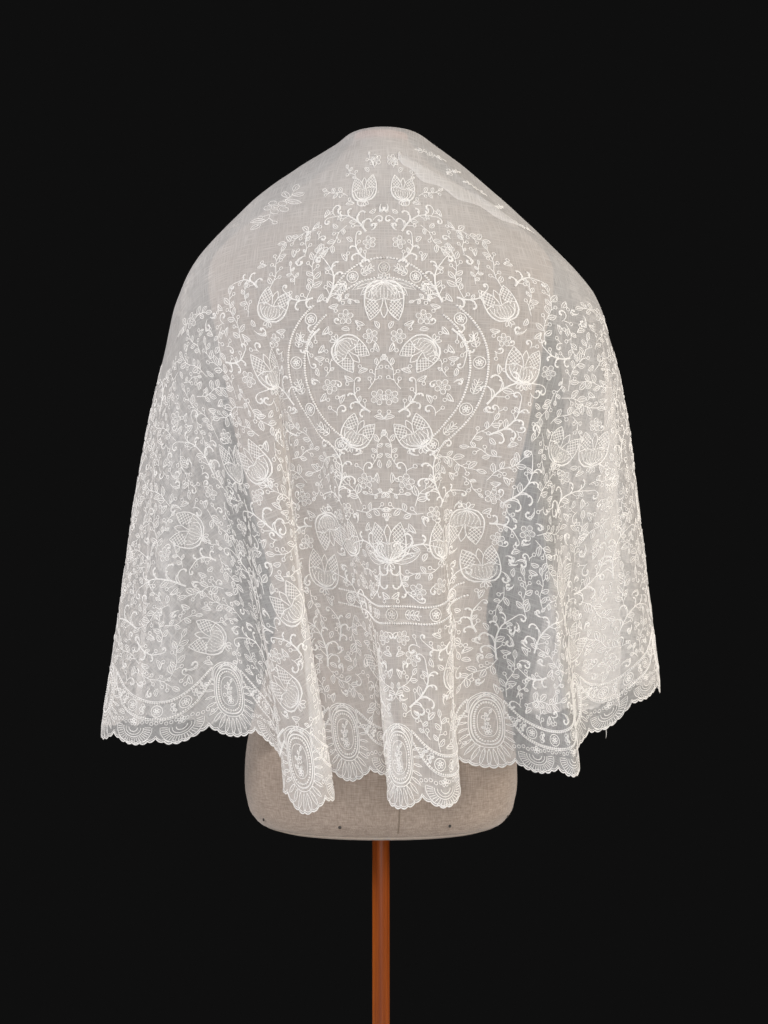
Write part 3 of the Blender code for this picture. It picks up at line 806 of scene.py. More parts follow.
def tulip(size):
    # stands on its base at 0 and points up: an open ribbed cup, its two side petals running up
    # to leaning tips, filled with lattice above and ribs below, and the tip of a third between
    drawing = [("fill", 1j * np.linspace(0.0, 0.52, 6) * size,
                np.array([0.04, 0.52, 0.80, 0.88, 0.84, 0.70]) * size)]
    for points, count, width in tulipLines:
        side = thread(size * curve(points, count), width)
        drawing += side + mirrored(side)
    for side in (-1, 1):
        drawing += lattice((0.30 * side + 0.70j) * size, 0.50 * size, 0.33 * size, 90 - 4 * side)
    for spread in (-0.26, -0.17, -0.08, 0.0, 0.08, 0.17, 0.26):
        rib = [0.03j, 1.25 * spread + 0.24j, spread + (0.47 - 0.2 * abs(spread)) * 1j]
        drawing += thread(size * curve(rib, 5))
    for way in bearing(np.array([-132.0, -90.0, -48.0])):
        drawing += leaf(0.03 * size * way, 0.19 * size * way, 0.5, vein=False)
    return drawing


def acanthus(length, lobes, hand):
    # a bowed stem from 0 towards +x: hooks with thick curled ends off its outer side, each
    # shorter than the last, open leaves and eyelets off its inner side, and a curl at its end
    bow = np.array([0, 0.30 + 0.16j * hand, 0.65 + 0.20j * hand, 1.0 + 0.04j * hand])
    rib = curve(bow * length, 13)
    drawing = thread(rib, np.linspace(0.0021, 0.0010, 13))
    for number in range(lobes):
        i = 1 + number * 10 // lobes
        way = towards(rib[i], rib[i + 1])
        reach = length * (0.56 - 0.07 * number) * (1.0 if number % 2 else 0.80)
        heading = np.degrees(np.angle(way))
        drawing += curl(rib[i], heading + (20 - 6 * number) * hand, reach, hand,
                        3.4 - 0.3 * number, 0.0015)
        drawing += curl(rib[i], heading - 2 * hand, 0.60 * reach, hand, 2.2, 0.0009)
        inner = 0.42 * reach * way * np.exp(-0.9j * hand)
        drawing += leaf(rib[i + 1], inner, 0.48) if number % 2 else berry(rib[i + 1], inner)
    return drawing + curl(rib[-1], np.degrees(np.angle(rib[-1] - rib[-2])), 0.40 * length, -hand)


def sprig(size, seed):
    # an open flower with a short leafy stem to each side
    drawing = flower(0.0, 0.21 * size, 18)
    for side in (-1, 1):
        stem = np.array([0.18 * side, 0.36 * side + 0.05j, 0.54 * side + 0.01j])
        drawing += spray(stem * size, 0.23 * size, 3, seed + side, 0.85)
    return drawing


def roseRing(centre, radius):
    # a ring round a small flower two thirds its size
    return ring(centre, radius, "plain", 13) + flower(centre, 0.66 * radius, 90)


def beads(points):
    # beads at even steps along a line
    along = lengthsAlong(points)
    at = np.linspace(0, along[-1], max(int(along[-1] / stitch["beadStep"]), 2))
    return [("knots", np.interp(at, along, points), stitch["bead"])]


def longOval(centre, halfWide, halfTall, count=49, power=2.4, turns=(0.0, 360.0)):
    # an oval with flatter sides, from the turn at its right side anticlockwise
    t = np.radians(np.linspace(turns[0], turns[1], count))
    x = np.sign(np.cos(t)) * np.abs(np.cos(t)) ** (2 / power)
    y = np.sign(np.sin(t)) * np.abs(np.sin(t)) ** (2 / power)
    return centre + halfWide * x + 1j * halfTall * y


# Border, drawn with x along the hem from the middle of the repeat and y up from the notches

border = {
    "bendRadius": 0.745,     # of the hem round the neck, at the middle of the border
    "ovalHigh": 0.040, "ovalWide": 0.0150, "ovalTall": 0.0255,
    "ovals": [(1.02, "bold"), (1.16, "plain"), (0.66, "net")],       # share of the oval, stitch
    "arch": [0.019 + 0.052j, 0.017 + 0.066j, 0.0736j, -0.010 + 0.0665j],
    "rays": 17, "raySpread": 104, "rayLength": 0.0105, "rayLonger": 0.0088,
    # the swag's two lines from this oval to half-way, and a step off each for its plain line
    "swags": [([0.018 + 0.066j, 0.038 + 0.050j], 0.040, 0.0018j),
              ([0.020 + 0.054j, 0.038 + 0.032j], 0.0225, -0.0018j)],
    "roses": (9, 16, 23), "roseSize": 0.0064, "leaves": (4, 6, 12, 20, 26, 28),
    "scallops": (4.0, 8.0), "scallopWide": 0.0225, "scallopTall": 0.0178,
    "scallopLines": [(0.24, "plain"), (0.42, "fine"), (0.56, "plain"), (0.97, "fine")],
    "eyeletsHigh": 0.0185, "eyeletStep": 0.0052,
}


def bentToHem(drawing, angle):
    # x is wound round the neck along the hem, y shortens the distance from the neck
    return redrawn(drawing, lambda points: (shawl["reach"] - points.imag) * np.exp(
        1j * (np.radians(angle - 90) + points.real / border["bendRadius"])))


def borderRepeat(number):
    # one repeat of the hem's border, drawn upright: a long oval with a spray in it, arches, rays,
    # the swag to the next oval, scallops and eyelets, and then bent to the hem
    repeat = 2 * math.radians(shawl["repeat"] / 2) * border["bendRadius"]
    middle = 1j * border["ovalHigh"]
    wide, tall = border["ovalWide"], border["ovalTall"]
    drawing = beads(longOval(middle, 0.84 * wide, 0.88 * tall))
    for grow, width in border["ovals"]:
        drawing += thread(longOval(middle, grow * wide, grow * tall, 33), width)
    drawing += spray([middle - 0.013j, middle - 0.003 - 0.002j, middle + 0.002 + 0.010j], 0.0055, 6,
                     900 + number, 0.6)
    drawing += flower(middle - 0.011j, 0.0042, 90)
    arch = np.array(border["arch"])
    arches = thread(curve(arch, 11), "plain") + thread(curve(arch * 0.93 + 0.003j, 11))
    drawing += arches + mirrored(arches)
    # fan rays from the oval out to the scalloped edge
    for lean in np.linspace(-border["raySpread"], border["raySpread"], border["rays"]):
        way = bearing(lean - 90)
        start = middle + 1.22 * (wide * way.real + 1j * tall * way.imag)
        reach = border["rayLength"] + border["rayLonger"] * math.cos(math.radians(lean)) ** 2
        drawing += leaf(start, way * reach, 0.20, vein=False)
    # swag to the next oval, its two beaded lines and what lies between them
    between = 0.0
    for points, low, step in border["swags"]:
        ahead = [repeat - np.conj(point) for point in points[::-1]]
        swag = curve([*points, repeat / 2 + 1j * low, *ahead], 33)
        drawing += beads(swag) + thread(swag + step)
        between = between + swag / 2
    for i in border["roses"]:
        drawing += roseRing(between[i], border["roseSize"])
    for i in border["leaves"]:
        way = towards(between[i], between[i + 1])
        for ahead in way * bearing(np.array([-52.0, 52.0])):
            drawing += leaf(between[i], 0.0056 * ahead, 0.46)
            drawing += berry(between[i] - 0.003 * way, 0.0035 * ahead)
    # two scallops of nested arcs, with ticks between the last two
    turn = np.radians(np.linspace(-186, 6, 21))
    arc = border["scallopWide"] * np.cos(turn) + 1j * border["scallopTall"] * np.sin(turn)
    for side in border["scallops"]:
        at = math.radians(side) * border["bendRadius"] + 0.0115j
        for grow, width in border["scallopLines"]:
            drawing += thread(at + grow * arc, width)
        for spoke in arc:
            drawing += thread(at + np.linspace(0.62, 0.92, 3) * spoke)
        drawing += flower(at + 0.0065j, 0.0045, 90)
    for x in np.arange(0.026, repeat - 0.02, border["eyeletStep"]):
        drawing += ring(x + 1j * (border["eyeletsHigh"] + 0.0012 * math.sin(x * 400)), 0.0018)
    return bentToHem(drawing, shawl["repeat"] * number)


def edgeStitch():
    # the buttonholed edge: a thick line on the small scallops and a fine one inside it
    drawing = []
    step = 3 * shawl["smallPoints"]
    for start in range(0, len(hemLine) - 1, step):
        part = hemLine[start:start + step + 1]
        for inside, width in ((0.0007, "edge"), (0.0030, "fine")):
            drawing += thread(part - inside * part / np.abs(part), width)
    return drawing


# The map of bare cloth, for the right half of the cut

layout = {
    "cell": 0.0015,          # size of a cell of the map that says where the cloth is still bare
    "mapTop": 0.10, "mapWide": 0.82, "mapTall": 0.95,
    "mostTaken": 0.02,       # share of the cells round a spot that still counts as bare
    "roundMedallion": 0.003,
    "spacing": 0.8, "jitter": 0.4,           # of the spots, in shares of their bare radius
    "lastDistance": 0.772, "lastAngle": 76.5,
    "seed": 7,
}


def cellsOf(flat):
    # row and column of the map's cells that hold the points
    i = np.round(flat.real / layout["cell"]).astype(int)
    j = np.round((layout["mapTop"] - flat.imag) / layout["cell"]).astype(int)
    return i, j


def markTaken(taken, drawing, room=0.0):
    # every cell that a line passes through, or comes as near to as room
    for kind, points, width in drawing:
        at = np.arange(0, len(points) - 0.99, 0.5)
        dense = np.interp(at, np.arange(len(points)), points)
        if kind == "fill":
            half = np.interp(at, np.arange(len(points)), np.broadcast_to(width, len(points))) / 2
            dense = np.concatenate([dense, dense + half, dense - half])
        if room:
            dense = (dense[:, None] + room * np.exp(1j * np.linspace(0, 5.5, 8))).ravel()
        i, j = cellsOf(dense)
        good = (i >= 0) & (j >= 0) & (i < taken.shape[0]) & (j < taken.shape[1])
        taken[i[good], j[good]] = True


def isBare(taken, place, radius):
    # whether few enough of the cells within a radius of the place are taken
    i, j = cellsOf(np.array(place))
    reach = max(int(radius / layout["cell"]), 1)
    window = taken[max(i - reach, 0):i + reach + 1, max(j - reach, 0):j + reach + 1]
    return i >= 0 and window.size > 0 and window.mean() < layout["mostTaken"]


def squeezed(drawing, place):
    # near the neck the cloth spreads over the shoulders, so a motif of the centre is drawn
    # narrower across the radius there and comes out round
    share = np.interp(abs(place), [0.155, 0.235, 0.310, 0.420], [0.71, 0.75, 0.84, 1.0])
    return stretchedRound(drawing, place, np.interp(abs(angleOf(place)), [26.0, 40.0], [share, 1.0]))


def embroideredFrom(angle):
    # distance from the neck at which the dense embroidery starts
    return np.interp(abs(angle), [0, 8, 14, 22, 30, 38, 48, 80],
                     [0.075, 0.095, 0.130, 0.200, 0.275, 0.350, 0.400, 0.415])


# Main motifs of the right half: kind, across, down, heading in degrees, size
mainMotifs = [
    ("tulip", 0.018, 0.147, 84, 0.032), ("flower", 0.0085, 0.094, 0, 0.0080),
    ("spray", 0.010, 0.104, 62, 0.020), ("spray", 0.026, 0.120, 50, 0.026),
    ("spray", 0.034, 0.140, 22, 0.032), ("curl", 0.016, 0.152, -25, 0.026),
    ("acanthus", 0.016, 0.186, 22, 0.050), ("curl", 0.010, 0.172, 120, 0.024),
    ("acanthus", 0.012, 0.222, 62, -0.036), ("flower", 0.013, 0.199, 0, 0.0082),
    ("spray", 0.062, 0.182, -12, 0.038), ("flower", 0.056, 0.208, 20, 0.0084),
    ("curl", 0.044, 0.166, 40, 0.030), ("spray", 0.068, 0.262, 98, 0.054),
    ("tulip", 0.043, 0.310, 225, 0.036), ("tulip", 0.037, 0.424, 120, 0.033),
    ("flower", 0.012, 0.305, 0, 0.0084), ("flower", 0.006, 0.372, 40, 0.0088),
    ("acanthus", 0.014, 0.388, 66, -0.036), ("acanthus", 0.058, 0.296, 290, 0.040),
    ("acanthus", 0.050, 0.268, 82, 0.050), ("acanthus", 0.062, 0.262, 20, -0.036),
    ("spray", 0.044, 0.262, 192, 0.024),
    ("acanthus", 0.058, 0.478, 88, 0.056), ("flower", 0.022, 0.462, 10, 0.0086),
    ("spray", 0.030, 0.486, 60, 0.042), ("acanthus", 0.012, 0.548, 300, -0.038),
    ("acanthus", 0.010, 0.540, 15, 0.044), ("tulip", 0.058, 0.540, 80, 0.036),
    ("flower", 0.030, 0.572, 0, 0.0084), ("acanthus", 0.078, 0.602, 60, 0.050),
    ("tulip", 0.108, 0.284, 112, 0.036), ("tulip", 0.128, 0.350, 88, 0.037),
    ("spray", 0.104, 0.250, 100, 0.048), ("spray", 0.146, 0.306, 85, 0.062),
    ("acanthus", 0.098, 0.376, 25, 0.060), ("acanthus", 0.104, 0.408, 60, -0.048),
    ("flower", 0.156, 0.335, 0, 0.0084), ("spray", 0.182, 0.350, 78, 0.062),
    ("tulip", 0.186, 0.428, 70, 0.037), ("curl", 0.150, 0.405, 40, 0.030),
    ("tulip", 0.236, 0.424, 100, 0.037), ("spray", 0.240, 0.380, 80, 0.062),
    ("acanthus", 0.275, 0.408, 68, 0.056), ("spray", 0.296, 0.352, 62, 0.062),
    ("curl", 0.262, 0.352, 95, 0.030), ("acanthus", 0.200, 0.484, 35, 0.058),
    ("acanthus", 0.130, 0.478, 70, -0.056), ("tulip", 0.096, 0.492, 270, 0.037),
    ("tulip", 0.125, 0.568, 110, 0.038), ("flower", 0.160, 0.504, 0, 0.0088),
    ("spray", 0.165, 0.470, 60, 0.052), ("tulip", 0.222, 0.562, 75, 0.038),
    ("acanthus", 0.150, 0.650, 75, 0.056), ("tulip", 0.066, 0.672, 60, 0.037),
    ("acanthus", 0.016, 0.690, 70, -0.052), ("flower", 0.022, 0.640, 0, 0.0088),
    ("acanthus", 0.190, 0.628, 50, 0.058), ("tulip", 0.338, 0.452, 60, 0.038),
    ("acanthus", 0.310, 0.540, 85, 0.060), ("acanthus", 0.262, 0.560, 65, -0.056),
    ("flower", 0.292, 0.480, 0, 0.0088), ("spray", 0.346, 0.400, 70, 0.058),
    ("tulip", 0.270, 0.628, 60, 0.038), ("acanthus", 0.390, 0.478, 40, 0.060),
    ("spray", 0.405, 0.420, 50, 0.060), ("spray", 0.395, 0.345, 50, 0.058),
    ("tulip", 0.402, 0.556, 60, 0.038), ("acanthus", 0.465, 0.470, 35, 0.058),
    ("acanthus", 0.340, 0.600, 45, 0.058), ("acanthus", 0.465, 0.355, 40, 0.058),
    ("acanthus", 0.430, 0.290, 60, -0.056), ("spray", 0.430, 0.250, 60, 0.058),
    ("flower", 0.432, 0.395, 0, 0.0088), ("tulip", 0.528, 0.402, 30, 0.038),
    ("tulip", 0.515, 0.270, 40, 0.038), ("acanthus", 0.470, 0.200, 60, 0.056),
    ("acanthus", 0.590, 0.310, 15, 0.058), ("flower", 0.550, 0.340, 0, 0.0088),
    ("tulip", 0.560, 0.170, 45, 0.038), ("tulip", 0.635, 0.235, 10, 0.038),
    ("spray", 0.455, 0.130, 70, 0.060), ("acanthus", 0.575, 0.240, 30, -0.056),
    ("spray", 0.500, 0.140, 60, 0.060), ("flower", 0.605, 0.180, 0, 0.0088),
    ("sprig", 0.210, 0.252, 6, 0.046),
]


def motif(kind, heading, size, seed):
    # each kind drawn from its base at 0, turned to its heading
    if kind == "tulip":
        return moved(tulip(size), 0.0, heading - 90)
    if kind == "acanthus":
        lobes = 4 if abs(size) > 0.045 else 3
        return moved(acanthus(abs(size), lobes, math.copysign(1.0, size)), 0.0, heading)
    if kind == "flower":
        return flower(0.0, size, heading)
    if kind == "curl":
        return curl(0.0, heading, size)
    if kind == "sprig":
        return moved(sprig(size, seed), 0.0, heading)
    stem = np.array([0.0, 0.34 + 0.07j, 0.72 - 0.04j, 1.0]) * size
    leafLength = 0.26 * size if size < 0.04 else 0.0105
    return moved(spray(stem, leafLength, int(size / 0.0057), seed, 0.55), 0.0, heading)


# Parts of the medallion's right half: the swag below, the side and the arch at the top
medallionParts = [
    {"middle": -0.500j, "outer": (0.190, 0.106), "inner": (0.180, 0.089),
     "turns": (-90, -54), "bandTurns": (-90, -60), "steps": 4, "roseFirst": 0},
    {"middle": -0.345j, "outer": (0.095, 0.098), "inner": (0.078, 0.084),
     "turns": (-62, 49), "bandTurns": (-57, 41), "steps": 6, "roseFirst": 0},
    {"middle": -0.287j, "outer": (0.050, 0.070), "inner": (0.046, 0.047),
     "turns": (32, 90), "bandTurns": (38, 90), "steps": 3, "roseFirst": 1},
]


def medallion():
    # in the middle of the back a round band of two beaded lines, with rosettes and sprigs
    # between: an arch of its own at the top, open at the bottom, and a shallow swag below
    drawing = []
    for part in medallionParts:
        outer, inner = np.array(part["outer"]), np.array(part["inner"])
        for wide, tall in (outer, inner):
            drawing += beads(longOval(part["middle"], wide, tall, 61, 2.0, part["turns"]))
        wide, tall = 0.5 * (outer + inner)
        band = longOval(part["middle"], wide, tall, part["steps"] + 1, 2.0, part["bandTurns"])
        for i, spot in enumerate(band):
            item = roseRing(spot, 0.0066)
            if i % 2 != part["roseFirst"]:
                way = towards(band[i - 1] if i else band[1], spot)
                item = thread(spot + np.linspace(-0.009, 0.009, 5) * way)
                for step in (-0.008, -0.003, 0.002):
                    for ahead in way * bearing(np.array([-46.0, 46.0])):
                        item += leaf(spot + step * way, 0.0066 * ahead, 0.44, 0.0, False, False)
            drawing += squeezed(item, spot)
    return drawing


# Place across and down, heading, size, stretch round the neck
sprigPlaces = [
    (-0.106, 0.138, 232, 0.046, 1.9), (0.052, 0.074, -10, 0.021, 1.2), (0.075, 0.094, 40, 0.015, 1.1),
    (0.098, 0.112, -20, 0.019, 1.2), (0.122, 0.132, 50, 0.015, 1.1), (0.142, 0.155, 0, 0.019, 1.2),
]

sideSprigs = [
    (0.330, 0.250, -37, 0.042, 2.2), (0.270, 0.145, -28, 0.042, 2.4), (0.180, 0.050, -15, 0.040, 2.6),
]


def shoulderSprigs():
    # by themselves on the plain shoulders, drawn wider round the neck where the cloth is drawn
    # together: one on the left, a row past the doubled strip on the right, three down each side
    drawing = []
    otherSide = [(-across, down, 180 - heading, *rest) for across, down, heading, *rest in sideSprigs]
    for number, row in enumerate(sprigPlaces + sideSprigs + otherSide):
        across, down, heading, size, wider = row
        place = across - 1j * down
        drawing += stretchedRound(moved(sprig(size, 700 + number), place, heading), place, wider)
    return drawing


def centreMotifs():
    # what stands on the centre line, drawn once: the hanging tulip and the large flower
    drawing = squeezed(moved(tulip(0.044), -0.243j, 180), -0.243j) + moved(tulip(0.040), -0.545j)
    for side in (-1, 1):
        for lean, reach in ((30, 0.026), (52, 0.032), (72, 0.036)):
            drawing += leaf(-0.543j, 1j * reach * bearing(-side * lean), 0.24, -0.12 * side)
            drawing += leaf(-0.245j, -0.8j * reach * bearing(side * lean), 0.26, 0.1 * side)
    for way in bearing(90 + np.array([-24.0, -8.0, 8.0, 24.0])):
        drawing += berry(-0.505j + 0.002 * way, 0.005 * way, 0.0016)
    return drawing


# What fills the bare cloth, from the largest down: kind, radius that has to be bare, size
fillers = [
    ("spray", 0.0175, 0.046), ("acanthus", 0.0155, 0.034), ("flower", 0.0135, 0.0086),
    ("spray", 0.0105, 0.034), ("curl", 0.0098, 0.026), ("flower", 0.0094, 0.0078),
    ("spray", 0.0078, 0.025), ("curl", 0.0068, 0.018), ("twig", 0.0058, 0.014),
    ("leaf", 0.0046, 0.0090),
]


def filler(kind, spot, heading, size, draw):
    # one small motif with its middle near the spot
    span = size * bearing(heading)
    if kind == "leaf":
        return leaf(spot - 0.5 * span, span, 0.5, 0.1)
    if kind == "twig":
        return leaf(spot - 0.4 * span, 0.8 * span, 0.42, 0.1) \
            + berry(spot - 0.3 * span, (0.3 + 0.35j) * span)
    if kind == "curl":
        return curl(spot - 0.42 * span, heading, size, draw.choice([-1, 1])) \
            + berry(spot - 0.3 * span, (0.2 - 0.2j) * span)
    if kind == "flower":
        return flower(spot, size, heading) + curl(spot + span, heading + 40, 1.9 * size)
    return moved(motif(kind, heading, size, int(draw.integers(10 ** 6))), spot - 0.5 * span)


def layOut():
    # the right half by the table, then mirrored; the bare cloth between the main motifs is filled
    half = medallion()
    size = [int(layout[side] / layout["cell"]) for side in ("mapWide", "mapTall")]
    taken = np.zeros(size, bool)
    markTaken(taken, half, layout["roundMedallion"])
    for number, (kind, across, down, heading, size) in enumerate(mainMotifs):
        place = across - 1j * down
        half += squeezed(moved(motif(kind, heading, size, 100 + number), place), place)
    repeats = {number: borderRepeat(number) for number in range(-6, 7)}
    single = centreMotifs() + shoulderSprigs()
    for drawing in (half, mirrored(half), single, mirrored(shoulderSprigs()),
                    *[repeats[number] for number in range(-1, 7)]):
        markTaken(taken, drawing)
    draw = np.random.default_rng(layout["seed"])
    for kind, radius, size in fillers:
        step = radius * layout["spacing"]
        spots = (np.arange(0.002, 0.78, step)[:, None] - 1j * np.arange(-0.02, 0.78, step)).ravel()
        for way in (1.0, 1j):
            spots = spots + draw.uniform(-layout["jitter"], layout["jitter"], len(spots)) * step * way
        draw.shuffle(spots)
        distance, angle = np.abs(spots), angleOf(spots)
        inside = (distance > embroideredFrom(angle)) & (distance < layout["lastDistance"])
        inside &= (angle < layout["lastAngle"]) & (spots.real >= step)
        for spot in spots[inside]:
            if isBare(taken, spot, radius):
                drawing = squeezed(filler(kind, spot, draw.uniform(0, 360), size, draw), spot)
                markTaken(taken, drawing)
                half += drawing
    print("bare cloth filled, share of cells taken", round(float(taken.mean()), 3))
    return half + mirrored(half) + single + edgeStitch() + sum(repeats.values(), [])


def onTheCut(points):
    # whether a line lies on the cloth all along: above the scalloped edge and inside the top edge
    distance, angle = np.abs(points), angleOf(points)
    inside = distance < shawl["reach"] + hemLobe(angle) + 0.0012
    return bool((inside & (np.abs(angle) < edgeAngle(distance) - 0.4) & (distance > 0.055)).all())


def ribbonMesh(lines, crown, lift):
    # three points across each line, the middle one raised: grouped by the number of points
    groups = {}
    for points, width in lines:
        groups.setdefault(len(points), []).append((points, np.broadcast_to(width, len(points))))
    allPoints, allFlat, allTriangles, first = [], [], [], 0
    for count, members in sorted(groups.items()):
        middle, width = (np.array(values) for values in zip(*members))
        along = np.gradient(middle, axis=1)
        across = 0.5j * along / np.maximum(np.abs(along), 1e-9) * width
        flat = np.stack([middle - across, middle, middle + across], -1)
        edge = np.full(width.shape, lift)
        place = onCloth(flat, np.stack([edge, edge + crown * width, edge], -1))
        allTriangles.append(cellTriangles(first + np.arange(flat.size).reshape(flat.shape)))
        allPoints.append(place.reshape(-1, 3))
        allFlat.append(flat.ravel())
        first += flat.size
    return np.concatenate(allPoints), np.concatenate(allTriangles), np.concatenate(allFlat)


def beadMesh(centres, radius):
    # a low dome on each point: a ring of six, a narrower raised ring and a top
    six = np.exp(1j * turnsOf(6))
    flat = centres[:, None] + np.concatenate([six, 0.72 * six, [0]]) * radius
    height = np.array([0.0] * 6 + [0.75] * 6 + [1.0]) * radius + 0.0002
    side = np.arange(6)
    after = (side + 1) % 6
    dome = np.concatenate([np.stack([side, after, after + 6], 1),
                           np.stack([side, after + 6, side + 6], 1),
                           np.stack([side + 6, after + 6, np.full(6, 12)], 1)])
    triangles = (np.arange(len(centres))[:, None, None] * 13 + dome).reshape(-1, 3)
    return onCloth(flat, height), triangles, flat


def buildEmbroidery():
    # the stitches in a few pieces by their place round the back, so that none grows too large
    kinds = {"thread": [], "fill": [], "knots": []}
    for kind, points, width in layOut():
        if onTheCut(points):
            kinds[kind].append((points, width))
    places = np.array([angleOf(points.mean()) for points, _ in kinds["thread"]])
    bounds = [-90, -42, -14, 14, 42, 90]
    meshes = {}
    for number, (low, high) in enumerate(zip(bounds, bounds[1:])):
        chosen = [item for item, angle in zip(kinds["thread"], places) if low <= angle < high]
        meshes[f"embroidery_{number + 1}"] = ribbonMesh(chosen, stitch["crown"], stitch["lift"])
    meshes["shadow_stitches"] = ribbonMesh(kinds["fill"], stitch["fillCrown"], stitch["fillLift"])
    knots = np.concatenate([points for points, _ in kinds["knots"]])
    meshes["seed_stitches"] = beadMesh(knots, stitch["bead"])
    pieces = []
    for name, (points, triangles, flat) in meshes.items():
        finish = fillMaterial() if name == "shadow_stitches" else threadFinish
        pieces.append(makePiece(name, points, triangles, finish, flat))
        print(name, "stitched,", len(triangles), "triangles")
    return pieces


embroidery = buildEmbroidery()


# The dress form

def formPoint(height, turn):
    # a rounded oval at each height; turn is 0 at the centre back and grows towards +X
    level = smoothThrough(formLevels, height)
    sine, cosine = np.sin(turn), np.cos(turn)
    power = 2 / form["roundness"]
    depth = np.where(cosine > 0, level[..., 1], level[..., 2])
    across = level[..., 0] * np.sign(sine) * np.abs(sine) ** power
    out = -depth * np.sign(cosine) * np.abs(cosine) ** power
    return np.stack([across, out, height], -1)


def closedSkin(name, rings, material, flat, node, sharp):
    # rings of points one above the other, the first and the last of which lie on the axis and
    # become one point each; edges sharper than so many degrees stay sharp
    piece = makePiece(name, rings, gridTriangles(*rings.shape[:2], wrap=True)[:, ::-1], material,
                      flat, node)
    facesOutwards(piece, 0.00001)
    piece.data.shade_smooth()
    piece.data.set_sharp_from_angle(angle=math.radians(sharp))


def buildTorso():
    # the levels' smooth curve, with a flat foot and a flat top
    low, high = formLevels[0][0], formLevels[-1][0]
    share = np.linspace(0.0, 1.0, form["levels"])
    height = low + (high - low) * (0.5 * share + 0.5 * share ** 2 * (3 - 2 * share))
    skin = formPoint(*np.meshgrid(height, turnsOf(form["sides"]), indexing="ij"))
    foot, top = (np.broadcast_to((0.0, 0.0, z), (1, form["sides"], 3)) for z in (low, high))
    closedSkin("form_linen", np.concatenate([foot, skin, top]), linenMaterial(), None,
               "form_torso", 50)


def turnedPiece(name, profile, sides, material, node):
    # a profile of (radius, height) turned about +Z, its two ends on the axis
    radius, height = np.array(profile).T[..., None]
    turn = turnsOf(sides)
    points = np.stack([radius * np.cos(turn), radius * np.sin(turn), height + 0 * turn], -1)
    closedSkin(name, points, material, points[..., 0] + 1j * points[..., 1], node, 40)


def roundedProfile(corners, radius, steps=5):
    # each inner corner of a profile becomes a short arc that leaves and meets its two sides at
    # the radius, or at half the side's length where that is less
    corners = [np.array(c, float) for c in corners]
    out = [corners[0]]
    for before, here, after in zip(corners, corners[1:], corners[2:]):
        back, ahead = before - here, after - here
        reach = min(radius, np.linalg.norm(back) / 2, np.linalg.norm(ahead) / 2)
        start = here + back / np.linalg.norm(back) * reach
        end = here + ahead / np.linalg.norm(ahead) * reach
        for t in np.linspace(0, 1, steps):
            out.append((1 - t) ** 2 * start + 2 * t * (1 - t) * here + t ** 2 * end)
    out.append(corners[-1])
    return out


stand = {
    "poleRadius": 0.010, "poleLow": 0.0103, "poleHigh": 0.7397,
    "capRadius": 0.0310, "capTop": 1.475, "capBottom": 1.465,
}

# Outline of the foot: radius and height, from the middle of the underside
baseCorners = [
    (0.0, 0.0), (0.177, 0.0), (0.180, 0.004), (0.180, 0.009), (0.174, 0.016), (0.160, 0.020),
    (0.100, 0.025), (0.038, 0.030), (0.026, 0.036), (0.0235, 0.044), (0.0225, 0.050),
    (0.0185, 0.054), (0.0103, 0.054), (0.0103, 0.0103), (0.0, 0.0103),
]


def drum(radius, heights):
    # outline of an upright round, from the middle of its foot to the middle of its top
    return [(0.0, heights[0]), *[(radius, z) for z in heights], (0.0, heights[-1])]


def buildStand():
    # the pole, its foot and the neck's cover, each turned about the upright axis
    heights = [stand["poleLow"], *np.linspace(0.02, 0.73, 24), stand["poleHigh"]]
    pole = drum(stand["poleRadius"], heights)
    cap = drum(stand["capRadius"], [stand["capBottom"], stand["capTop"]])
    turnedPiece("stand_pole", pole, 40, mottled("pole varnish", "varnish"), "pole")
    turnedPiece("stand_foot", roundedProfile(baseCorners, 0.0025), 128,
                mottled("foot varnish", "varnish"), "base")
    turnedPiece("neck_cover", roundedProfile(cap, 0.003), 64, mottled("cap cotton"),
                "neck_cap")


formDetails = {
    "seams": [6.5, 92.0, 136.0, 180.0, 224.0, 268.0],     # degrees round the form
    "seamFrom": 0.690, "seamTo": 1.455, "seamWidth": 0.0016, "seamHeight": 0.00025,
    "sideReach": 0.14,       # of the form from its axis, about, where the seams run
    "weltAt": 0.6835, "weltWidth": 0.0022, "weltHeight": 0.0006,
    "nails": 8, "firstNail": 29.0, "nailsAt": 0.697, "nailRadius": 0.0021, "nailHeight": 0.0012,
}


def outwardFrom(place):
    # level directions away from the form's axis
    level = place * np.array([1.0, 1.0, 0.0])
    return level / np.linalg.norm(level, axis=-1, keepdims=True)


def ridgeOnForm(name, height, turn, aside, raised, material):
    # three points across each line: height and turn give the line, aside the step to its two
    # sides as (height, turn), raised how far the middle stands off the form
    offsets = np.array([-1.0, 0.0, 1.0])
    at = formPoint(height[..., None] + offsets * aside[0], turn[..., None] + offsets * aside[1])
    points = at + outwardFrom(at) * np.array([0.0001, raised, 0.0001])[:, None]
    index = np.arange(at[..., 0].size).reshape(at.shape[:-1])
    makePiece(name, points, cellTriangles(index)[:, ::-1], material)


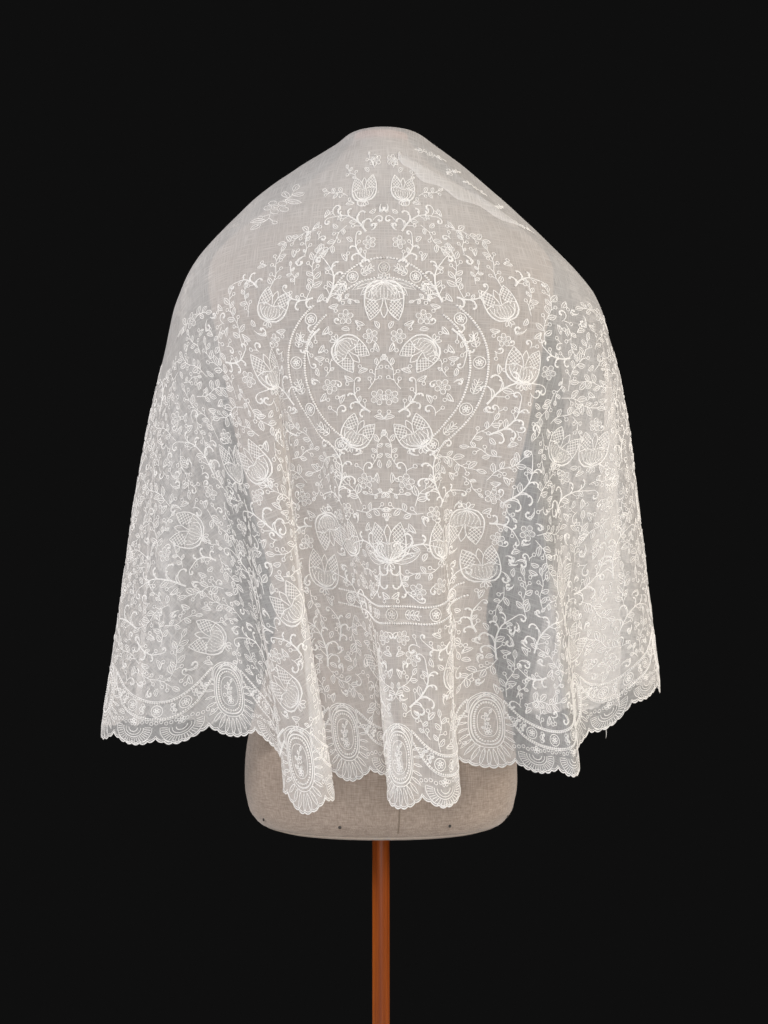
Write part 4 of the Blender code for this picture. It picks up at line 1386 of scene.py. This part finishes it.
def buildFormDetails():
    # raised seams down the form, a welt round its lower edge and nail heads
    details = formDetails
    height = np.linspace(details["seamFrom"], details["seamTo"], 150)
    turn = np.radians(np.array(details["seams"]))
    ridgeOnForm("form_seams", *np.broadcast_arrays(height, turn[:, None]),
                (0.0, details["seamWidth"] / 2 / details["sideReach"]), details["seamHeight"],
                mottled("seam linen"))
    wholeTurn = np.linspace(0, 2 * np.pi, 181)
    ridgeOnForm("form_welt", np.full(181, details["weltAt"]), wholeTurn,
                (details["weltWidth"] / 2, 0.0), details["weltHeight"], mottled("welt linen"))
    # nail heads: low domes of three rings, their base in the form's surface
    count, up = details["nails"], np.array([0.0, 0.0, 1.0])
    turn = np.radians(details["firstNail"] + 360.0 / count * np.arange(count))
    middle = formPoint(np.full(count, details["nailsAt"]), turn)[:, None, None]
    outward = outwardFrom(middle)
    around = turnsOf(12)[:, None]
    radius = (np.array([1.0, 0.72, 0.02]) * details["nailRadius"])[:, None, None]
    rise = (np.array([0.0, 0.7, 1.0]) * details["nailHeight"])[:, None, None]
    points = middle + outward * rise + radius * (np.cos(around) * np.cross(outward, up)
                                                 + np.sin(around) * up)
    triangles = np.arange(count)[:, None, None] * 36 + gridTriangles(3, 12, wrap=True)
    facesOutwards(makePiece("form_nails", points, triangles.reshape(-1, 3), mottled("nail iron")))


buildTorso()
buildFormDetails()
buildStand()
print("form and stand built")


# Studio

studio = {
    "floorRadius": 1.15,
    "worldGrey": 0.0048,
    "aim": (0.0, 0.0, 1.05),
    "lights": [
        # name, place, size, watts, colour
        ("key_left", (-2.3, -1.1, 2.1), 0.9, 43.0, (1.0, 0.975, 0.970)),
        ("key_right", (2.4, -1.0, 1.9), 0.9, 48.0, (1.0, 0.925, 0.820)),
        ("low_front", (0.1, -2.6, 1.2), 1.2, 33.0, (0.975, 0.985, 1.0)),
        ("back_left", (-1.8, 1.8, 2.2), 1.4, 24.0, (1.0, 0.97, 0.98)),
        ("back_right", (1.8, 1.8, 2.2), 1.4, 24.0, (1.0, 0.91, 0.83)),
    ],
}


def buildStudio():
    # a plain grey world, a round floor and the lamps, each turned to the same point
    world = bpy.data.worlds.new("studio")
    bpy.context.scene.world = world
    world.use_nodes = True
    grey = studio["worldGrey"]
    connect(world.node_tree, world.node_tree.nodes["Background"], {"Color": (grey, grey, grey, 1.0)})
    edge = studio["floorRadius"] * bearing(np.arange(96) * 360.0 / 96)
    mesh = bpy.data.meshes.new("floor")
    mesh.from_pydata([(p.real, p.imag, -0.0005) for p in edge], [], [list(range(96))])
    mesh.update()
    material, tree, shader = newMaterial("pale floor")
    connect(tree, shader, {"Base Color": (0.78, 0.77, 0.75, 1.0), "Roughness": 0.9})
    mesh.materials.append(material)
    addObject("floor", mesh)
    for name, place, size, watts, colour in studio["lights"]:
        light = bpy.data.lights.new(name, "AREA")
        light.shape = "DISK"
        light.size = size
        light.energy = watts
        light.color = colour
        lamp = addObject(name, light)
        lamp.location = place
        way = mathutils.Vector(studio["aim"]) - lamp.location
        lamp.rotation_euler = way.to_track_quat("-Z", "Y").to_euler()
    bpy.context.scene.view_settings.view_transform = "Standard"


def buildCamera():
    # the photograph's height is its long side, so the sensor's width is fitted to its 768 pixels
    camera = bpy.data.cameras.new("camera")
    camera.sensor_fit = "HORIZONTAL"
    halfWidth = view["pixel"] * view["width"] / 2
    camera.lens = camera.sensor_width / 2 / (halfWidth / view["distance"])
    eye = addObject("camera", camera)
    eye.location = (shawl["sideStep"], -view["distance"], view["height"])
    eye.rotation_euler = (math.radians(90), 0.0, 0.0)
    bpy.context.scene.camera = eye


buildStudio()
buildCamera()
